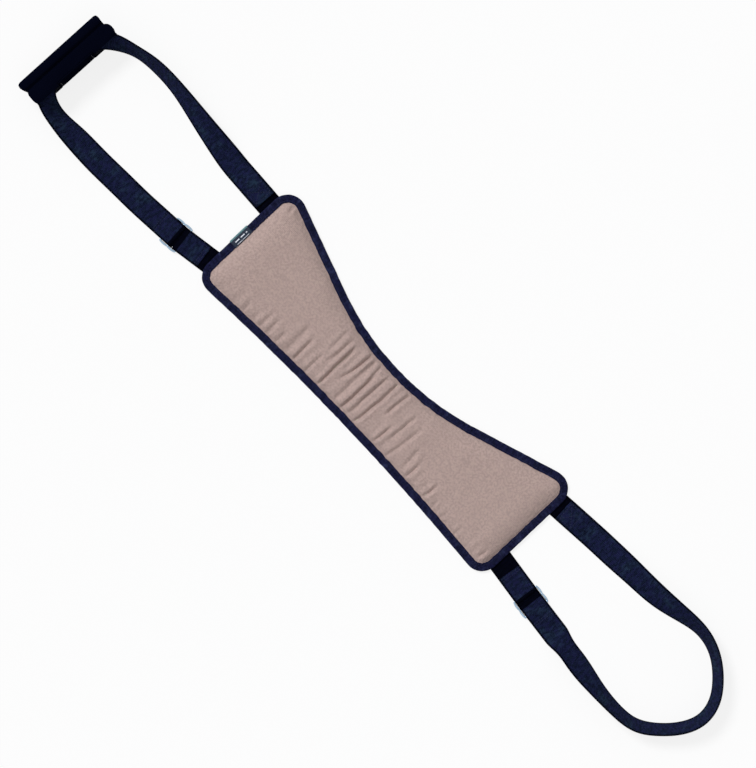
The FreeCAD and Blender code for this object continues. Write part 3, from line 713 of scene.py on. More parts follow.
def pad_height(x, y, depth, creases):
    """Height of the cover's face above the rim, as crown, creases and seam puckers."""
    share = np.clip((depth - BINDING_WIDTH) / (CROWN_REACH + FABRIC_T), 0, 1)
    rise = (PAD_TOP - RIM_TOP) * (1 - (1 - share) ** CROWN_POWER)
    drift = soft_noise(x, y, 46.0, 3.1) * 0.7 + soft_noise(x, y, 17.0, 8.4) * 0.22
    hold = np.clip((depth - BINDING_WIDTH) / 6.0, 0, 1)
    folds = np.zeros_like(x)
    wander = soft_noise(x * 0.35, y, 21.0, 5.7) * 1.1
    for x0, y0, x1, y1, deep, half in CREASES:
        low, high = min(y0, y1), max(y0, y1)
        at = x0 + (x1 - x0) * np.clip((y - y0) / (y1 - y0), 0, 1)
        off = x + wander - at
        fade = np.clip((y - low + 6) / 12, 0, 1) * np.clip((high - y + 6) / 12, 0, 1)
        valley = np.exp(-(off / (1.2 * half)) ** 2)
        ridge = np.exp(-((off - 2.6 * half) / (1.7 * half)) ** 2)
        ridge += np.exp(-((off + 2.6 * half) / (1.7 * half)) ** 2)
        folds += deep * fade * (0.65 * ridge - 1.7 * valley)
    waist = np.exp(-((x + 12) / 70.0) ** 2)
    ripple = soft_noise(x, y * 0.1, 6.5, 12.3) * waist * 1.2
    wide = np.exp(-(x / 150.0) ** 2)
    roll = soft_noise(x, y * 0.14, 15.0, 21.4) * wide * 1.1
    seam = np.exp(-((depth - BINDING_WIDTH - 2.5) / 6.0) ** 2)
    pucker = soft_noise(x, y, 5.0, 1.9) * seam * 0.9
    lower = np.clip((-y - 36.0) / 34.0, 0, 1) * soft_noise(x, y * 0.14, 8.0, 6.2) * 1.3
    dip = -0.55 * np.exp(-((depth - BINDING_WIDTH - 0.7) / 0.8) ** 2)
    soft = np.clip((depth - BINDING_WIDTH) / 4.0, 0, 1)
    return rise + hold * (drift + creases * (folds + ripple + roll + lower)) + soft * pucker + dip


# ---- straps --------------------------------------------------------------------------------

UP = np.array([0.0, 0.0, 1.0])


class Leg:
    """Frame of one strap leg: local x outwards along the strap, and its outward-facing width."""

    def __init__(self, end, x, y, angle, curved):
        heading = math.radians(angle if end > 0 else 180 - angle)
        self.end = end
        self.origin = np.array([x, y, 0.0])
        self.out = np.array([math.cos(heading), math.sin(heading), 0.0])
        side = np.array([-self.out[1], self.out[0], 0.0])
        self.wide = side if (side[1] > 0) == curved else -side
        self.curved = curved

    def at(self, x, z=0.0, across=0.0):
        return self.origin + self.out * x + self.wide * across + UP * z

    def moved(self, x, angle):
        """Frame further along the leg, with its own angle."""
        place = self.at(x)
        return Leg(self.end, place[0], place[1], angle, self.curved)


def leg(name):
    end, y, angle = LEGS[name]
    return Leg(end, end * HINGE_X, y, angle, name.endswith("curved"))


def slider_leg(loop):
    """Strap frame with its origin at the middle of the slider."""
    bar_at, slider_angle, strap_angle, _, _ = SLIDERS[loop]
    bar = leg(loop + "_straight").moved(bar_at, slider_angle)
    return bar.moved(BAR_PITCH, strap_angle)


def rounded_route(route, step=2.5):
    """Points along (x, z, radius) corners, each rounded to its radius."""
    corners = np.array([(x, z) for x, z, _ in route], float)
    points = [corners[0]]
    for i in range(1, len(route) - 1):
        before = corners[i - 1] - corners[i]
        after = corners[i + 1] - corners[i]
        before = before / np.linalg.norm(before)
        after = after / np.linalg.norm(after)
        half = math.acos(np.clip(before @ after, -1, 1)) / 2
        radius = route[i][2]
        reach = radius / math.tan(half)
        middle = corners[i] + (before + after) / np.linalg.norm(before + after) * (radius / math.sin(half))
        start = corners[i] + before * reach - middle
        finish = corners[i] + after * reach - middle
        a0 = math.atan2(start[1], start[0])
        turn = (math.atan2(finish[1], finish[0]) - a0 + math.pi) % TAU - math.pi
        for share in np.linspace(0, 1, max(3, int(abs(turn) / math.radians(14)) + 2)):
            angle = a0 + turn * share
            points.append(middle + radius * np.array([math.cos(angle), math.sin(angle)]))
    points.append(corners[-1])
    filled = [points[0]]
    for a, b in zip(points, points[1:]):
        length = np.linalg.norm(b - a)
        if length < 1e-6:
            continue
        count = max(1, int(length / step))
        filled += [a + (b - a) * k / count for k in range(1, count + 1)]
    return np.array(filled)


def strap_path(frame_leg, route, sign, step=2.5):
    """Path of a strap in its leg's upright plane; sign gives which way its face points."""
    flat = rounded_route(route, step)
    places = np.array([frame_leg.at(x, z) for x, z in flat])
    return finish_path(places, np.tile(frame_leg.wide, (len(places), 1)), sign)


def finish_path(places, widths, sign):
    heading = np.gradient(places, axis=0)
    heading /= np.linalg.norm(heading, axis=1)[:, None]
    normals = sign * np.cross(heading, widths)
    normals /= np.linalg.norm(normals, axis=1)[:, None]
    return places, widths, normals


def grip_wall(flat):
    """Path up the grip through (depth, height) points, with its width along the grip."""
    places = GRIP_ORIGIN + GRIP_FORWARD * flat[:, :1] + UP * flat[:, 1:]
    return finish_path(places, np.tile(GRIP_ALONG, (len(flat), 1)), 1)

def clamped_spline(marks, values, first, last):
    """Slopes of the smooth curve through values at their marks, with the two end slopes given."""
    count = len(marks)
    steps = np.diff(marks)
    matrix = np.zeros((count, count))
    right = np.zeros((count, values.shape[1]))
    matrix[0, 0] = matrix[-1, -1] = 1.0
    right[0], right[-1] = first, last
    for i in range(1, count - 1):
        a, b = steps[i - 1], steps[i]
        matrix[i, i - 1:i + 2] = b, 2 * (a + b), a
        right[i] = 3 * (b / a * (values[i] - values[i - 1]) + a / b * (values[i + 1] - values[i]))
    return np.linalg.solve(matrix, right)


def tilted_run(first, last, route, step=3.0):
    """Smooth strap between two flat ends, leaning outwards by its tilt with its inner edge lowest."""
    stations = [(first.end * (HINGE_X + out), y, tilt, lift) for out, y, tilt, lift in route]
    stations.insert(0, (first.origin[0], first.origin[1], 0.0, 0.0))
    stations.append((last.origin[0], last.origin[1], 0.0, 0.0))
    values = np.array(stations, float)
    marks = running_length(values[:, :2])
    start = np.array([first.out[0], first.out[1], 0.0, 0.0])
    finish = np.array([-last.out[0], -last.out[1], 0.0, 0.0])
    slopes = clamped_spline(marks, values, start, finish)
    rows = []
    for i in range(len(marks) - 1):
        width = marks[i + 1] - marks[i]
        count = max(2, int(width / step))
        for k in range(count):
            t = k / count
            a = (1 + 2 * t) * (1 - t) ** 2
            b = t * (1 - t) ** 2 * width
            c = eased(t)
            d = t * t * (t - 1) * width
            rows.append(a * values[i] + b * slopes[i] + c * values[i + 1] + d * slopes[i + 1])
    rows.append(values[-1])
    rows = np.array(rows)
    flat = rows[:, :2]
    heading = np.gradient(flat, axis=0)
    heading /= np.linalg.norm(heading, axis=1)[:, None]
    across = np.stack([-heading[:, 1], heading[:, 0], np.zeros(len(rows))], 1) * first.end
    lean = np.radians(np.clip(rows[:, 2], 0, 80))
    lift = np.clip(rows[:, 3], 0, None)
    widths = across * np.cos(lean)[:, None] + UP * np.sin(lean)[:, None]
    normals = -across * np.sin(lean)[:, None] + UP * np.cos(lean)[:, None]
    height = lift + WEB_WIDTH / 2 * np.sin(lean) + WEB_T / 2 * np.cos(lean)
    return np.column_stack([flat, height]), widths, normals


def one_path(*paths):
    """Paths laid end to end, without the doubled point where they meet."""
    trimmed = [paths[0]] + [tuple(column[1:] for column in path) for path in paths[1:]]
    return tuple(np.concatenate(columns) for columns in zip(*trimmed))


def wrap_corners(bar_at, side):
    """Corners of webbing that folds up round a slider's bar, on the side that a sign gives."""
    edge = bar_at + side * HALF_WRAP
    fold = bar_at + side * (HALF_WRAP + WRAP_BULGE)
    return [
        (fold, WEB_T / 2, FOLD_PINCH),
        (fold, WRAP_KNEE, FOLD_PINCH),
        (edge, WRAP_KNEE, WRAP_TUCK),
        (edge, UPPER_LAYER_Z, WRAP_RADIUS),
    ]

def slider_route(loop, tail_on_top):
    """Strap round the slider's centre bar, and where the free run joins it."""
    tail = SLIDERS[loop][4]
    wrap = wrap_corners(0.0, -1) + [
        (BAR_CREST, UPPER_LAYER_Z, CREST_RADIUS),
        (STRAP_LANDING, SECOND_LAYER_Z, CREST_RADIUS),
    ]
    if tail_on_top:
        join_x = tail + FLAT_RUN
        return [(join_x, WEB_T / 2, 0)] + wrap + [(tail, SECOND_LAYER_Z, 0)], join_x
    over = tail + TAB_OVERLAP
    join_x = over + STRAP_DROP + FLAT_RUN
    route = [(tail, WEB_T / 2, 0)] + wrap + [(over, SECOND_LAYER_Z, CREST_RADIUS)]
    return (route + [(over + STRAP_DROP, WEB_T / 2, CREST_RADIUS), (join_x, WEB_T / 2, 0)])[::-1], join_x


def loop_path(loop, route, tail_on_top):
    """Whole strap of a loop, from the end turned under on its tab to the tail at the slider."""
    sign = 1 if loop == "plain" else -1
    curved = leg(loop + "_curved")
    fold_x = FOLD_START + WEB_T / 2
    drop = fold_x + FOLD_LAYER + TAB_OVERLAP
    join_x = drop + STRAP_DROP + FLAT_RUN
    fold = strap_path(curved, [
        (fold_x + FOLD_LAYER, SECOND_LAYER_Z, 0),
        (fold_x, SECOND_LAYER_Z, FOLD_RADIUS),
        (fold_x, THIRD_LAYER_Z, FOLD_RADIUS),
        (drop, THIRD_LAYER_Z, CREST_RADIUS),
        (drop + STRAP_DROP, WEB_T / 2, CREST_RADIUS),
        (join_x, WEB_T / 2, 0),
    ], sign)
    strap = slider_leg(loop)
    wrap_route, wrap_x = slider_route(loop, tail_on_top)
    first = curved.moved(join_x, LEGS[loop + "_curved"][2])
    last = strap.moved(wrap_x, SLIDERS[loop][2])
    return one_path(fold, tilted_run(first, last, route), strap_path(strap, wrap_route, sign))


# ---- stitches ------------------------------------------------------------------------------

def stitch_shape():
    """One plump stitch, one millimetre long and round, as points and faces."""
    bpy.ops.object.select_all(action="DESELECT")
    bpy.ops.mesh.primitive_uv_sphere_add(segments=6, ring_count=5, radius=0.5)
    ball = bpy.context.object
    bpy.ops.object.mode_set(mode="EDIT")
    bpy.ops.mesh.select_all(action="SELECT")
    bpy.ops.transform.rotate(value=math.pi / 2, orient_axis="Y", center_override=(0, 0, 0))
    bpy.ops.object.mode_set(mode="OBJECT")
    points = np.array([tuple(v.co) for v in ball.data.vertices])
    faces = [tuple(face.vertices) for face in ball.data.polygons]
    points[:, 0] = 0.5 * np.sign(points[:, 0]) * np.abs(2 * points[:, 0]) ** 0.55
    mesh = ball.data
    bpy.data.objects.remove(ball)
    bpy.data.meshes.remove(mesh)
    return points, faces


def stitches(name, places, length, width, height, material):
    """Stitches at (place, heading, up), each a copy of one shape, as one piece."""
    points, faces = stitch_shape()
    sizes = np.array([length, width, height])
    parts = []
    for place, heading, up in places:
        heading = np.asarray(heading) / np.linalg.norm(heading)
        side = np.cross(up, heading)
        turned = (points * sizes) @ np.array([heading, side / np.linalg.norm(side), up])
        parts.append((turned + place, faces, np.zeros((len(points), 2))))
    shell_points, shell_faces, _ = joined(parts)
    return new_piece(name, shell_points, shell_faces, material, angle=80)


def stitch_line(a, b, up, pitch):
    """Places of stitches on a straight seam."""
    a, b = np.asarray(a, float), np.asarray(b, float)
    count = max(1, round(np.linalg.norm(b - a) / pitch))
    return [(a + (b - a) * (k + 0.5) / count, b - a, np.asarray(up, float)) for k in range(count)]


def seam_box(frame_leg, x0, x1, half, z, up, crossed, pitch):
    """Sewn rectangle on a leg, with its diagonals when it is crossed."""
    corners = [frame_leg.at(x, z, w) for x, w in ((x0, -half), (x1, -half), (x1, half), (x0, half))]
    sides = list(zip(corners, corners[1:] + corners[:1]))
    if crossed:
        sides += [(corners[0], corners[2]), (corners[1], corners[3])]
    return [place for a, b in sides for place in stitch_line(a, b, up, pitch)]


# ---- settings ------------------------------------------------------------------------------

def colour_setting(name, description, red, green, blue):
    """Colour property whose default is given in display values from 0 to 255."""
    linear = [((c / 255 + 0.055) / 1.055) ** 2.4 if c > 10 else c / 255 / 12.92 for c in (red, green, blue)]
    return bpy.props.FloatVectorProperty(name=name, description=description, subtype="COLOR", size=3,
                                         min=0.0, max=1.0, default=linear)


def length_setting(name, description, millimetres):
    return bpy.props.FloatProperty(name=name, description=description, default=millimetres * MM,
                                   min=0.0, unit="LENGTH", subtype="DISTANCE")


class BeltSizes(bpy.types.PropertyGroup):
    """Sizes of the sewn details."""

    rib_pitch: length_setting("Pad rib pitch", "From one rib of the pad fabric to the next", 1.7)
    web_pitch: length_setting("Webbing rib pitch", "From one rib of the webbing to the next", 1.5)
    stitch_pitch: length_setting("Stitch pitch", "From one stitch to the next", 4.0)
    thread: length_setting("Thread", "Thickness of the sewing thread", 0.75)
    pucker: length_setting("Binding pucker", "Height of the puckers in the edge binding", 0.42)
    creases: bpy.props.FloatProperty(name="Creases", description="Share of the pad's full creases",
                                     default=1.0, min=0.0, max=1.5, subtype="FACTOR")


class BeltColours(bpy.types.PropertyGroup):
    """Colours of the finishes."""

    pad: colour_setting("Pad fabric", "Brushed cover of the pad", 190, 167, 161)
    web: colour_setting("Webbing", "Straps", 21, 19, 54)
    web_tint: colour_setting("Webbing tint", "Patches on the straps", 30, 44, 62)
    binding: colour_setting("Binding", "Tape round the pad's edge", 18, 17, 46)
    binding_tint: colour_setting("Binding tint", "Patches on the edge tape", 40, 45, 74)
    back: colour_setting("Back cloth", "Panel below the pad", 46, 48, 60)
    grip: colour_setting("Grip cloth", "Cover of the padded grip", 5, 7, 21)
    lining: colour_setting("Grip lining", "Inside of the grip", 40, 42, 50)
    foam: colour_setting("Foam", "Core of the pad", 205, 200, 184)
    grip_foam: colour_setting("Grip foam", "Padding of the grip", 30, 30, 34)
    thread: colour_setting("Thread", "Sewing thread", 34, 38, 66)
    grip_thread: colour_setting("Grip thread", "Sewing thread of the grip", 10, 12, 28)
    tape: colour_setting("Closing tape", "Hook strip and loop strip", 20, 20, 24)
    metal: colour_setting("Metal", "Plated sliders", 150, 172, 192)
    label: colour_setting("Label", "Woven label", 22, 34, 54)
    mark: colour_setting("Label stripes", "Stripes on the label", 226, 230, 240)
    fold: colour_setting("Label fold", "Pale fold of the label", 92, 134, 140)


def made(name, build, *values):
    """The belt's own material by name, built the first time that it is asked for."""
    name = "belt_" + name
    return bpy.data.materials.get(name) or build(name, *values)


def rgba(colour):
    return tuple(colour) + (1.0,)

STRAP_MOTTLE = 40.0
BINDING_MOTTLE = 90.0

def strap_webbing(name, low, high):
    """Webbing of the straps, with painted shade between two distances along them in millimetres."""
    sizes, colours = bpy.context.scene.belt_sizes, bpy.context.scene.belt_colours
    dark = (low * MM, high * MM)
    return made(name, webbing, rgba(colours.web), rgba(colours.web_tint), sizes.web_pitch, STRAP_MOTTLE, dark)

def sewing_thread():
    return made("thread", thread_finish, rgba(bpy.context.scene.belt_colours.thread))

def grip_cloth():
    """Cloth of the grip's cover and its flap."""
    colour = rgba(bpy.context.scene.belt_colours.grip)
    return made("grip_cloth", plain_weave, colour, 0.0013, 0.0003, 0.72, 0.35)


# ---- operators -----------------------------------------------------------------------------

class BELT_OT_camera(bpy.types.Operator):
    """Adds the camera that looks straight down on the belt"""

    bl_idname = "belt.camera"
    bl_label = "Camera"

    TURN = 46.5
    LENS = 100.0
    SENSOR = 36.0
    FRAME_HEIGHT = 1.1213
    VIEW_CENTRE = (-0.0058, -0.0077)
    PLANE_Z = 0.006

    def execute(self, context):
        data = bpy.data.cameras.new("camera")
        data.lens = self.LENS
        data.sensor_width = self.SENSOR
        camera = bpy.data.objects.new("camera", data)
        context.scene.collection.objects.link(camera)
        distance = self.FRAME_HEIGHT * self.LENS / self.SENSOR
        camera.location = (*self.VIEW_CENTRE, self.PLANE_Z + distance)
        camera.rotation_euler = (0.0, 0.0, math.radians(self.TURN))
        context.scene.camera = camera
        return {"FINISHED"}


class BELT_OT_pad(bpy.types.Operator):
    """Makes the pad's front cover, foam core and back cover"""

    bl_idname = "belt.pad"
    bl_label = "Pad"

    def execute(self, context):
        sizes, colours = context.scene.belt_sizes, context.scene.belt_colours
        x, y = pad_grid(1.2, 420, 74)
        depth = side_distance(x, y)
        high = RIM_TOP + pad_height(x, y, depth, sizes.creases)
        low = high - FABRIC_T
        points, faces = slab(x, y, low, high)
        fabric = made("pad_fabric", pad_fabric, rgba(colours.pad), sizes.rib_pitch)
        cover = new_piece("front_cover_padded", points, faces, fabric)
        settle(cover, "pad", ["front_cover"])

        x, y = pad_grid(BINDING_T + 0.6, 170, 44)
        depth = side_distance(x, y)
        top = RIM_TOP + pad_height(x, y, depth, 0.0) - 2 * FABRIC_T
        sunk = np.clip((depth - BINDING_WIDTH) / 10.0, 0, 1) * 2.6 * sizes.creases
        waist = np.exp(-(x / 170.0) ** 2) * 0.8 + 0.2
        foam_top = np.maximum(top - sunk * waist, BASE_Z + BINDING_T + FABRIC_T + 0.9)
        foam_low = np.full_like(x, BASE_Z + BINDING_T + FABRIC_T + 0.05)
        points, faces = slab(x, y, foam_low, foam_top)
        foam = made("foam", foam_finish, rgba(colours.foam))
        core = new_piece("foam_core_block", points, faces, foam)
        settle(core, "pad", ["foam_core"])

        x, y = pad_grid(BINDING_T + 0.3, 200, 50)
        depth = side_distance(x, y)
        step = eased(np.clip((depth - BINDING_WIDTH - 0.2) / 1.6, 0, 1))
        wave = (soft_noise(x, y, 38.0, 4.4) + 1) * 0.3 + (soft_noise(x, y * 0.3, 9.0, 2.2) + 1) * 0.12
        low = BASE_Z + BINDING_T * (1 - step) + 0.02 + step * wave * np.clip((depth - 14) / 12, 0, 1)
        points, faces = slab(x, y, low, low + FABRIC_T)
        cloth = made("back_cloth", plain_weave, rgba(colours.back), 0.0011, 0.0003)
        back = new_piece("back_cover_panel", points, faces, cloth)
        settle(back, "pad", ["back_cover"])
        return {"FINISHED"}


class BELT_OT_binding(bpy.types.Operator):
    """Folds the tape round the pad's edge and sews it on"""

    bl_idname = "belt.binding"
    bl_label = "Edge binding"

    SEAM = 9.4
    STEP = 1.5

    def profile(self):
        """Closed section as (inset, height), outer face first, and which points are on top."""
        top, low, t = BINDING_TOP, BASE_Z, BINDING_T
        bend = (top - low) / 2
        outer = [(BINDING_WIDTH, low + 0.1), (BINDING_WIDTH - 1.2, low)]
        outer += [(self.SEAM, low + 0.12), (7.0, low), (4.5, low), (2.6, low)]
        turns = [math.radians(a) for a in (-72, -50, -28, -8, 8, 28, 50, 72)]
        outer += [(bend - bend * math.cos(a), low + bend + bend * math.sin(a)) for a in turns]
        outer += [(2.6, top), (4.5, top + 0.08), (7.0, top + 0.05), (self.SEAM, top - 0.22)]
        outer += [(BINDING_WIDTH - 1.2, top + 0.02), (BINDING_WIDTH, top - 0.12)]
        inner = [(BINDING_WIDTH, top - t), (self.SEAM, top - t - 0.1), (4.5, top - t), (2.2, top - t - 0.1)]
        inner += [(0.9, low + bend), (2.2, low + t + 0.1), (4.5, low + t), (BINDING_WIDTH, low + t)]
        return outer + inner

    def execute(self, context):
        sizes, colours = context.scene.belt_sizes, context.scene.belt_colours
        edge, outward = outline(0.0, self.STEP)
        run = running_length(edge)
        profile = np.array(self.profile())
        pucker = sizes.pucker / MM
        points, uvs = [], []
        for i, (place, out) in enumerate(zip(edge, outward)):
            waist = 1 + 1.2 * math.exp(-(place[0] / 110.0) ** 2)
            ripple = noise.noise((place[0] / 3.0, place[1] / 3.0, 2.6)) * pucker * waist
            roll = noise.noise((place[0] / 11.0, place[1] / 11.0, 7.7)) * pucker * waist * 1.4
            for inset, z in profile:
                loose = math.sin(math.pi * min(inset, self.SEAM) / self.SEAM) + 0.25
                above = 1 if z > (BINDING_TOP + BASE_Z) / 2 else -0.35
                lift = (ripple * 1.3 + roll) * loose * above
                slip = (roll * 1.2 + ripple * 0.6) * (1 if inset > 1.0 else 0.5)
                at = place - out * (inset + slip)
                points.append((at[0], at[1], max(z + lift, 0.9 if above < 0 else z - pucker)))
                uvs.append((run[i], inset if above > 0 else -inset))
        settings = (rgba(colours.binding), rgba(colours.binding_tint), 0.0013, BINDING_MOTTLE)
        tape = made("binding_tape", webbing, *settings)
        faces = tube_faces(len(edge), len(profile), closed=True)
        binding = new_piece("edge_binding_tape", points, faces, tape, uvs, angle=60)
        settle(binding, "pad", ["edge_binding"])

        thread = sewing_thread()
        seam, _ = outline(self.SEAM, sizes.stitch_pitch / MM / 4)
        seam_run = running_length(seam)
        count = round(seam_run[-1] / (sizes.stitch_pitch / MM))
        marks = (np.arange(count) + 0.5) * seam_run[-1] / count
        at = np.column_stack([np.interp(marks, seam_run, seam[:, k]) for k in (0, 1)])
        ahead = np.column_stack([np.interp(marks + 0.5, seam_run, seam[:, k]) for k in (0, 1)])
        places = []
        for here, there in zip(at, ahead):
            heading = np.append(there - here, 0.0)
            if np.linalg.norm(heading) > 0:
                places.append((np.append(here, BINDING_TOP - 0.1), heading, UP))
                places.append((np.append(here, BASE_Z + 0.02), heading, -UP))
        size = sizes.thread / MM
        row = stitches("binding_stitches", places, sizes.stitch_pitch / MM * 0.72, size, size * 0.8, thread)
        settle(row, "pad")
        return {"FINISHED"}


class BELT_OT_label(bpy.types.Operator):
    """Folds the small plain label over the binding at the grip end"""

    bl_idname = "belt.label"
    bl_label = "Label"

    LENGTH = 34.0
    THICKNESS = 0.45

    def execute(self, context):
        colours = context.scene.belt_colours
        low, high = cad_box("woven_label")
        centre_y = (low[1] + high[1]) / 2
        near, far = high[0] - 0.2, low[0] - 0.9
        top, bottom = high[2] + 0.35, low[2]
        route = [
            (near, bottom + 0.25, 0),
            (far + 1.0, bottom + 0.25, 1.6),
            (far, (top + bottom) / 2, 4.0),
            (far + 1.2, top, 2.0),
            (near - 4.0, top - 0.05, 6.0),
            (near, top - 0.35, 0),
        ]
        flat = rounded_route(route, 1.0)
        places = np.column_stack([flat[:, 0], np.full(len(flat), centre_y), flat[:, 1]])
        path = finish_path(places, np.tile((0.0, 1.0, 0.0), (len(flat), 1)), 1)
        section = web_section(self.LENGTH, self.THICKNESS, 0.0, 13)
        points, faces, uvs = swept(path, section)
        cloth = made("label_cloth", label_cloth, rgba(colours.label), rgba(colours.mark), rgba(colours.fold))
        label = new_piece("woven_label_tape", points, faces, cloth, uvs)
        settle(label, "pad", ["woven_label"])
        return {"FINISHED"}


class BELT_OT_legs(bpy.types.Operator):
    """Makes the four straps that run from below the pad to the tabs and slider anchors"""

    bl_idname = "belt.legs"
    bl_label = "Sewn strap legs"

    SUNK = 0.32
    DROP_START = -12.0
    DROP_END = -6.0
    DROP_RADIUS = 30.0
    TURN_START = 1.7
    TURN_END = 2.8

    def execute(self, context):
        sizes = context.scene.belt_sizes
        # Painted shade on each leg's lower layer, from under the pad round the slider's bar; the tabs get it
        # all along
        web = strap_webbing("anchor_webbing", -1000.0, 5.8)
        thread = sewing_thread()
        places = []
        for name in LEGS:
            loop, side = name.split("_")
            frame_leg = leg(name)
            start = [
                (-SEWN_LENGTH, WEB_T / 2 + self.SUNK, 0),
                (self.DROP_START, WEB_T / 2 + self.SUNK, self.DROP_RADIUS),
                (self.DROP_END, WEB_T / 2, self.DROP_RADIUS),
            ]
            if side == "curved":
                route = start + [(FOLD_START + FOLD_LAYER + TAB_OVERLAP, WEB_T / 2, 0)]
                node = loop + "_anchor_tab"
            else:
                bar_at, _, _, fold_back, _ = SLIDERS[loop]
                crest = bar_at - 2 * WRAP_SLACK - BAR_WIDTH / 2
                route = start + wrap_corners(bar_at, 1) + [
                    (crest, UPPER_LAYER_Z, CREST_RADIUS),
                    (crest - LAYER_RUN, SECOND_LAYER_Z, CREST_RADIUS),
                    (fold_back, SECOND_LAYER_Z, 0),
                ]
                node = loop + "_anchor_loop"
            path = strap_path(frame_leg, route, frame_leg.end, 0.8)
            points, faces, uvs = swept(path, web_section())
            if side == "curved":
                # A tab lies under the loop strap along its whole length, so all of it gets the painted shade
                uvs[:, 0] -= 2 * SEWN_LENGTH + 2 * FOLD_LAYER
            else:
                uvs[:, 0] -= run_at(path, frame_leg.at(bar_at + HALF_WRAP, UPPER_LAYER_Z / 2))
            piece = new_piece(name + "_strap", points, faces, web, uvs)
            settle(piece, None, ["sewn_end_" + name, node])
            end = frame_leg.end
            hinge = HINGE[loop + "_loop"] * MM
            start_at = (hinge[0] - end * self.TURN_START * MM, 0.0, 0.0)
            end_at = (hinge[0] + end * self.TURN_END * MM, 0.0, 0.0)
            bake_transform(piece)
            margin = (WEB_WIDTH - BOX_STITCH_WIDTH) / 2
            x0 = -SEWN_LENGTH + margin
            places += seam_box(frame_leg, x0, x0 + BOX_STITCH_LENGTH, BOX_STITCH_WIDTH / 2,
                               self.SUNK, -UP, True, sizes.stitch_pitch / MM)
        size = sizes.thread / MM
        sewn = stitches("box_stitch_threads", places, sizes.stitch_pitch / MM * 0.75, size, 0.56, thread)
        settle(sewn, "pad", ["box_stitches"])
        return {"FINISHED"}


class BELT_OT_loops(bpy.types.Operator):
    """Makes the webbing of the two hand loops with its stitching"""

    bl_idname = "belt.loops"
    bl_label = "Hand loops"

    def threads(self, loop, pitch):
        """Stitched box on the folded end, and rows on the anchor and at the slider."""
        curved, straight = leg(loop + "_curved"), leg(loop + "_straight")
        top = THIRD_LAYER_Z + WEB_T / 2 + 0.1
        x0 = FOLD_START + TAB_OVERLAP
        half = BOX_STITCH_WIDTH / 2
        places = seam_box(curved, x0, x0 + FOLD_LAYER - 2 * TAB_OVERLAP, half, top, UP, True, pitch)
        second = SECOND_LAYER_Z + WEB_T / 2 + 0.1
        reach = WEB_WIDTH / 2 - 2.5
        strap = slider_leg(loop)
        fold_back = SLIDERS[loop][3]
        for frame_leg, x in ((straight, fold_back + 2.2), (straight, fold_back + 5.8),
                             (strap, STRAP_LANDING + 1.8), (strap, STRAP_LANDING + 5.0)):
            row = (frame_leg.at(x, second, -reach), frame_leg.at(x, second, reach))
            places += stitch_line(*row, UP, pitch)
        return places

    def execute(self, context):
        sizes = context.scene.belt_sizes
        # Painted shade on the loop strap for 6.2 mm each side of where it folds down into the slider's slot
        web = strap_webbing("webbing", -6.2, 6.2)
        thread = sewing_thread()
        pitch, size = sizes.stitch_pitch / MM, sizes.thread / MM
        for loop, route, tail_on_top in (("grip", GRIP_ROUTE, True), ("plain", PLAIN_ROUTE, False)):
            path = loop_path(loop, route, tail_on_top)
            points, faces, uvs = swept(path, web_section())
            uvs[:, 0] -= run_at(path, slider_leg(loop).at(-HALF_WRAP, UPPER_LAYER_Z / 2))
            piece = new_piece(loop + "_loop_strap", points, faces, web, uvs)
            settle(piece, loop + "_loop", [loop + "_loop_webbing"])
            name = loop + "_loop_threads"
            sewn = stitches(name, self.threads(loop, pitch), pitch * 0.75, size, size * 0.8, thread)
            settle(sewn, loop + "_loop", [loop + "_loop_stitches"])
        return {"FINISHED"}


class BELT_OT_sliders(bpy.types.Operator):
    """Plates the two three-bar sliders"""

    bl_idname = "belt.sliders"
    bl_label = "Sliders"

    def execute(self, context):
        metal = made("plated_metal", nickel, rgba(context.scene.belt_colours.metal))
        for loop in SLIDERS:
            node = frame["nodes"][loop + "_slider"]
            for slot in node.material_slots:
                slot.material = metal
        return {"FINISHED"}


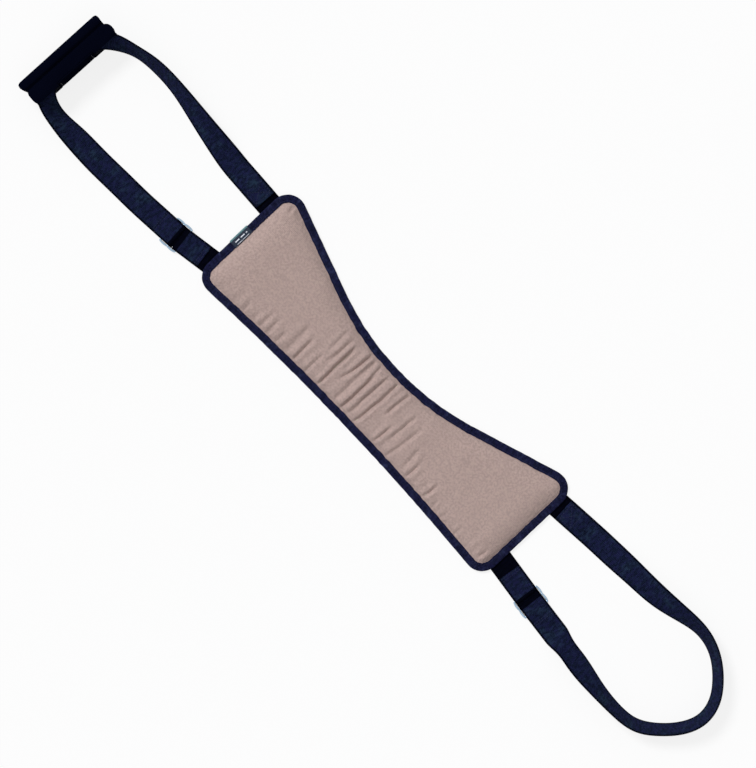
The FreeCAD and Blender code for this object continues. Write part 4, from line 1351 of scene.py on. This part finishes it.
class BELT_OT_grip(bpy.types.Operator):
    """Makes the padded sleeve with its cover, foam and lining"""

    bl_idname = "belt.grip"
    bl_label = "Grip"

    END_ROUND = 3.4
    BESIDE_FLAP = 0.2       # from the flap's end to where a leaf starts to widen to its full depth
    UNDER_FLAP = -1.8       # the same for the low leaf's cover, which goes on below the flap
    BACK_DEPTH = 11.0
    TOP_PAST = 2.5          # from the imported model's front to the ends of the top leaf
    LOW_SHORT = 0.4
    # Depth across the grip, then how far its +y end and its -y end reach there, on top and at the bottom
    REACH = (
        (-19.0, 72.0, 76.0, 71.0, 73.2),
        (-16.0, 73.8, 78.2, 71.0, 73.2),
        (-10.0, 74.4, 79.0, 71.0, 73.2),
        (-5.0, 73.6, 77.6, 71.0, 73.2),
        (-1.0, 70.6, 73.4, 71.0, 73.2),
        (2.0, 74.6, 74.8, 71.5, 73.4),
        (6.0, 78.4, 76.2, 74.5, 74.6),
        (11.0, 79.9, 76.7, 77.6, 75.8),
        (17.0, 79.7, 76.7, 79.0, 76.4),
        (21.0, 78.2, 75.9, 77.6, 75.6),
        (25.0, 73.5, 73.0, 73.5, 73.0),
    )

    def end_reach(self, x, z, sign):
        """How far an end reaches from the grip's middle at a depth and height."""
        table = np.array(self.REACH).T
        upper, lower = (table[1], table[3]) if sign > 0 else (table[2], table[4])
        share = eased(np.clip(z / GRIP_HEIGHT, 0, 1))
        return np.interp(x, table[0], lower) * (1 - share) + np.interp(x, table[0], upper) * share

    def beside_flap(self, y, past):
        """0 behind the flap and 1 beside it, changing at a distance past the flap's end."""
        return np.clip((abs(y) - LIP_LENGTH / 2 - past) / 0.4, 0, 1)

    def front(self, y, closed, open_edge, past=BESIDE_FLAP):
        """Front edge of a leaf: set back behind the flap, and full depth beside it."""
        return closed + (open_edge - closed) * self.beside_flap(y, past)

    def centreline(self, y, back, edge):
        """Outer face of the sleeve as (x, z) from the top front edge, round the back, to the lip."""
        half = GRIP_DEPTH / 2
        radius = GRIP_BACK_RADIUS
        top = []
        front = self.front(y, TOP_FRONT_X - back, half + self.TOP_PAST - edge)
        past = self.BESIDE_FLAP if back else self.UNDER_FLAP
        low_front = self.front(y, LIP_FRONT_X - back, half - self.LOW_SHORT - edge, past)
        middle = GRIP_BACK_X + self.BACK_DEPTH
        for x in np.linspace(front, middle, 26):
            broad = 1.5 * abs((x - 11.0) / 12.5) ** 3.0 if x > GRIP_GROOVE_X else 0.0
            groove = 3.2 * math.exp(-((x - GRIP_GROOVE_X) / 2.1) ** 2)
            top.append((x, GRIP_HEIGHT - min(broad, 2.4) - groove))
        corners = (np.linspace(90, 180, 10)[1:], GRIP_HEIGHT - radius), (np.linspace(180, 270, 10), radius)
        rear = []
        for angles, level in corners:
            for a in np.radians(angles):
                rear.append((middle + self.BACK_DEPTH * math.cos(a), level + radius * math.sin(a)))
        bottom = [(x, 0.0) for x in np.linspace(middle, low_front, 12)[1:]]
        return np.array(top + rear + bottom)

    def offset(self, line, depth):
        """The outer face moved inwards by a depth."""
        heading = np.gradient(line, axis=0)
        heading /= np.linalg.norm(heading, axis=1)[:, None]
        inward = np.stack([-heading[:, 1], heading[:, 0]], 1)
        return line + inward * depth

    def layer(self, outer, inner, half_length, rounding, back, edge, hem):
        """Closed shell of one layer between two depths, set back behind and beside the flap, and hemmed."""
        end = np.array([-half_length + rounding * share for share in (0.0, 0.15, 0.5, 1.0)])
        middle = np.linspace(-half_length + rounding, half_length - rounding, 40)[1:-1]
        outs = [start + k for start in (self.UNDER_FLAP, self.BESIDE_FLAP) for k in (0.0, 0.2, 0.4)]
        edges = [side * (LIP_LENGTH / 2 + out) for side in (-1, 1) for out in outs]
        stations = np.concatenate([end, np.sort(np.concatenate([middle, edges])), -end[::-1]])
        rings, uvs = [], []
        for y in stations:
            line = self.centreline(y, back, edge)
            left = half_length - abs(y)
            run = running_length(line)
            turned = 1 - np.clip((np.minimum(run, run[-1] - run) - 1.8) / 1.2, 0, 1)
            turned *= self.beside_flap(y, self.BESIDE_FLAP)
            fold = hem * np.maximum(turned, np.clip((2.6 - left) / 0.6, 0, 1))[:, None]
            near = 1 - min(left / rounding, 1)
            pinch = rounding * (1 - math.sqrt(max(0.0, 1 - near ** 2)))
            outside = self.offset(line, outer + pinch * 0.5)
            inside = self.offset(line, inner + fold)
            sag = np.array([noise.noise((y / 26.0, k / 9.0, 3.3)) for k in range(len(line))])
            lumpy = sag[:, None] * 0.45
            loop = np.concatenate([outside, inside[::-1]])
            loop = loop + np.concatenate([lumpy, lumpy[::-1]]) * np.array([0.0, -1.0])
            loop[:, 1] = np.maximum(loop[:, 1], outer)
            reach = self.end_reach(loop[:, 0], loop[:, 1], y) / (GRIP_LENGTH / 2)
            far = np.clip((abs(y) - LIP_LENGTH / 2 - 2.5) / 12.0, 0, 1)
            shift = y * (1 + (reach - 1) * far)
            across = GRIP_ALONG * shift[:, None]
            rings.append(GRIP_ORIGIN + GRIP_FORWARD * loop[:, :1] + across + UP * loop[:, 1:])
            run = running_length(loop)
            uvs.append(np.stack([np.full(len(loop), y), run], 1))
        return np.concatenate(rings), tube_faces(len(stations), len(rings[0])), np.concatenate(uvs)

    def lip(self, outer, inner, shortened):
        """Tab at the front of the sleeve that the flap closes on."""
        heights = np.linspace(outer + 0.4, LIP_HEIGHT - outer, 9)
        flat = np.stack([np.full(len(heights), LIP_FRONT_X - (outer + inner) / 2), heights], 1)
        return swept(grip_wall(flat), web_section(LIP_LENGTH - shortened, inner - outer, 0.0, 7))

    def execute(self, context):
        colours = context.scene.belt_colours
        cloth = grip_cloth()
        lining = made("grip_lining", plain_weave, rgba(colours.lining), 0.0009, 0.0002, 0.8, 0.25)
        foam = made("grip_foam", foam_finish, rgba(colours.grip_foam))
        half = GRIP_LENGTH / 2
        second = GRIP_COVER_T + 0.1
        third = GRIP_COVER_T + GRIP_FOAM_T
        depth = GRIP_FOAM_T - 0.1
        parts = (
            ("grip_cover_cloth", cloth, "grip_cover", "grip_cloth", 0.0, GRIP_COVER_T, 0.0,
             (half, self.END_ROUND, 0.0, 0.0, depth)),
            ("grip_foam_layer", foam, "grip_foam", "foam", second, third - 0.1, 8.0,
             (half - 3.6, 0.6, 3.4, 4.2, 0.0)),
            ("grip_lining_cloth", lining, "grip_lining", "grip_cloth", third, third + GRIP_LINING_T,
             3 * third, (half - 1.4, 0.6, 3.2, 1.2, 0.0)),
        )
        for name, material, node, slot, outer, inner, shortened, shape in parts:
            shells = [self.layer(outer, inner, *shape), self.lip(outer, inner, shortened)]
            points, faces, uvs = joined(shells)
            piece = new_piece(name, points, faces, material, uvs)
            settle(piece, "grip_loop", [node])
            node == "grip_cover"
        return {"FINISHED"}


class BELT_OT_closure(bpy.types.Operator):
    """Makes the grip's flap with its hook strip, and the loop strip that it closes on"""

    bl_idname = "belt.closure"
    bl_label = "Grip closure"

    def strip(self, name, x, face, node, body, material):
        """Backing tape with rows of small hooks or loops on its face."""
        z_mid = LIP_HEIGHT - TAPE_T - TAPE_HEIGHT / 2
        back = 0.45
        centre = x - face * (TAPE_T - back) / 2
        flat = np.array([(centre, z_mid + k * TAPE_HEIGHT / 10) for k in range(-5, 6)])
        shells = [swept(grip_wall(flat), web_section(LIP_LENGTH - 2 * TAPE_T, back, 0.0, 7))]
        points, faces = stitch_shape()
        draw = random.Random(11)
        for row in range(7):
            for column in range(38):
                side = (column - 18.5) * 1.7 + draw.uniform(-0.2, 0.2) + 0.4 * (row % 2)
                place = GRIP_ORIGIN + GRIP_FORWARD * (centre + face * 0.42) + GRIP_ALONG * side
                place = place + UP * (z_mid + (row - 3) * 1.5 + draw.uniform(-0.15, 0.15))
                spin = draw.uniform(-0.5, 0.5)
                heading = GRIP_ALONG * math.cos(spin) + UP * math.sin(spin)
                across = np.cross(GRIP_FORWARD, heading)
                turned = (points * (0.95, 0.28, 0.6)) @ np.array([heading, across, GRIP_FORWARD])
                shells.append((turned + place, faces, np.zeros((len(points), 2))))
        all_points, all_faces, uvs = joined(shells)
        piece = new_piece(name, all_points, all_faces, material, uvs)
        return settle(piece, body, [node])

    def execute(self, context):
        sizes, colours = context.scene.belt_sizes, context.scene.belt_colours
        tape = made("closing_tape", plain_weave, rgba(colours.tape), 0.0008, 0.0002, 0.85, 0.3)
        cloth = grip_cloth()
        thread = made("grip_thread", thread_finish, rgba(colours.grip_thread))
        loop_x = LIP_FRONT_X + LAYER_GAP + TAPE_T / 2
        hook_x = FLAP_X - FLAP_T / 2 - LAYER_GAP - TAPE_T / 2
        self.strip("grip_loop_tape", loop_x, 1, "grip_loop_strip", "grip_loop", tape)
        self.strip("grip_hook_tape", hook_x, -1, "grip_hook_strip", "flap", tape)

        flat = np.array([(FLAP_X, z) for z in np.linspace(FLAP_HINGE_Z, FLAP_FLOOR_GAP + FLAP_T / 2, 22)])
        path = grip_wall(flat)
        cap = FLAP_T / 2
        ends = [(-1, 0.12), (-0.92, 0.45), (-0.7, 0.72), (-0.35, 0.94)]
        down = (path[0][-1] - path[0][0]) / np.linalg.norm(path[0][-1] - path[0][0])
        head = np.array([path[0][0] + down * cap * k for k, _ in ends])
        foot = np.array([path[0][-1] - down * cap * k for k, _ in reversed(ends)])
        places = np.concatenate([head, path[0], foot])
        fill = np.concatenate([[s for _, s in ends], np.ones(len(flat)), [s for _, s in reversed(ends)]])
        middle = len(flat) // 2
        widths = np.tile(GRIP_ALONG, (len(places), 1))
        normals = np.tile(path[2][middle], (len(places), 1))
        scale = np.column_stack([1 - (1 - fill) * 0.03, fill])
        points, faces, uvs = swept((places, widths, normals), web_section(LIP_LENGTH, FLAP_T, 0.35, 9), scale)
        flap = new_piece("grip_flap_cloth", points, faces, cloth, uvs)
        settle(flap, "flap", ["grip_flap"])

        out = GRIP_FORWARD * (FLAP_X + FLAP_T / 2)
        half = LIP_LENGTH / 2 - 4.0
        rows = []
        top, low = FLAP_HINGE_Z - 5.0, FLAP_FLOOR_GAP + 4.0
        marks = ((-half, top), (-half, low), (half, low), (half, top))
        corners = [GRIP_ORIGIN + out + GRIP_ALONG * w + UP * z for w, z in marks]
        for a, b in zip(corners, corners[1:]):
            rows += stitch_line(a, b, GRIP_FORWARD, sizes.stitch_pitch / MM)
        size = sizes.thread / MM
        sewn = stitches("grip_flap_threads", rows, sizes.stitch_pitch / MM * 0.75, size, size * 0.8, thread)
        settle(sewn, "flap")
        return {"FINISHED"}


class BELT_OT_stage(bpy.types.Operator):
    """Adds the pale floor, the lamps and the world"""

    bl_idname = "belt.stage"
    bl_label = "Stage"

    FLOOR_SIZE = 60.0
    FLOOR_DROP = 0.0006
    KEY = 2.25
    FILL = 0.3
    WORLD = 0.34
    FLOOR_WHITE = 0.82

    def lamp(self, name, strength, angle, elevation, azimuth):
        data = bpy.data.lights.new(name, "SUN")
        data.energy = strength
        data.angle = math.radians(angle)
        lamp = bpy.data.objects.new(name, data)
        lamp.rotation_euler = (math.radians(90 - elevation), 0.0, math.radians(azimuth))
        bpy.context.scene.collection.objects.link(lamp)

    def execute(self, context):
        bpy.ops.object.select_all(action="DESELECT")
        bpy.ops.mesh.primitive_plane_add(size=self.FLOOR_SIZE, location=(0, 0, CAD_LOW.z - self.FLOOR_DROP))
        floor = context.object
        floor.name = "floor"
        paint = Paint("floor")
        behind = paint.node("ShaderNodeNewGeometry", {}, {}, "Backfacing")
        pale = paint.node("ShaderNodeBsdfDiffuse", {}, {"Color": (0.92, 0.92, 0.93, 1.0)})
        seen = paint.seen_straight()
        white = paint.node("ShaderNodeEmission", {}, {"Color": (1, 1, 1, 1), "Strength": 1.0})
        lit = paint.node("ShaderNodeMixShader", {}, {0: seen * self.FLOOR_WHITE, 1: pale, 2: white})
        clear = paint.node("ShaderNodeBsdfTransparent", {}, {})
        both = paint.node("ShaderNodeMixShader", {}, {0: behind, 1: lit, 2: clear})
        paint.node("ShaderNodeOutputMaterial", {}, {"Surface": both})
        floor.data.materials.append(paint.owner)

        self.lamp("key_lamp", self.KEY, 18.0, 48.0, -90.0)
        self.lamp("fill_lamp", self.FILL, 60.0, 60.0, 60.0)

        world = bpy.data.worlds.new("studio")
        context.scene.world = world
        sky = Paint("studio", world)
        seen = sky.seen_straight()
        light = sky.node("ShaderNodeBackground", {}, {"Color": (1, 1, 1, 1), "Strength": self.WORLD})
        white = sky.node("ShaderNodeBackground", {}, {"Color": (1, 1, 1, 1), "Strength": 1.0})
        both = sky.node("ShaderNodeMixShader", {}, {0: seen, 1: light, 2: white})
        sky.node("ShaderNodeOutputWorld", {}, {"Surface": both})
        context.scene.view_settings.view_transform = "Standard"
        return {"FINISHED"}


OPERATORS = (
    BELT_OT_camera,
    BELT_OT_pad,
    BELT_OT_binding,
    BELT_OT_label,
    BELT_OT_legs,
    BELT_OT_loops,
    BELT_OT_sliders,
    BELT_OT_grip,
    BELT_OT_closure,
    BELT_OT_stage,
)


class BELT_PT_panel(bpy.types.Panel):
    """Settings and steps of the belt"""

    bl_idname = "BELT_PT_panel"
    bl_label = "Padded Belt"
    bl_space_type = "VIEW_3D"
    bl_region_type = "UI"
    bl_category = "Belt"

    def draw(self, context):
        for group in (context.scene.belt_sizes, context.scene.belt_colours):
            box = self.layout.box()
            for name in group.bl_rna.properties.keys():
                if name not in ("rna_type", "name"):
                    box.prop(group, name)
        for operator in OPERATORS:
            self.layout.operator(operator.bl_idname)


CLASSES = (BeltSizes, BeltColours, *OPERATORS, BELT_PT_panel)


def register():
    for cls in CLASSES:
        bpy.utils.register_class(cls)
    bpy.types.Scene.belt_sizes = bpy.props.PointerProperty(type=BeltSizes)
    bpy.types.Scene.belt_colours = bpy.props.PointerProperty(type=BeltColours)


def unregister():
    del bpy.types.Scene.belt_colours
    del bpy.types.Scene.belt_sizes
    for cls in reversed(CLASSES):
        bpy.utils.unregister_class(cls)


def main():
    register()
    for operator in OPERATORS:
        group, step = operator.bl_idname.split(".")
        getattr(getattr(bpy.ops, group), step)()


if __name__ == "__main__":
    main()
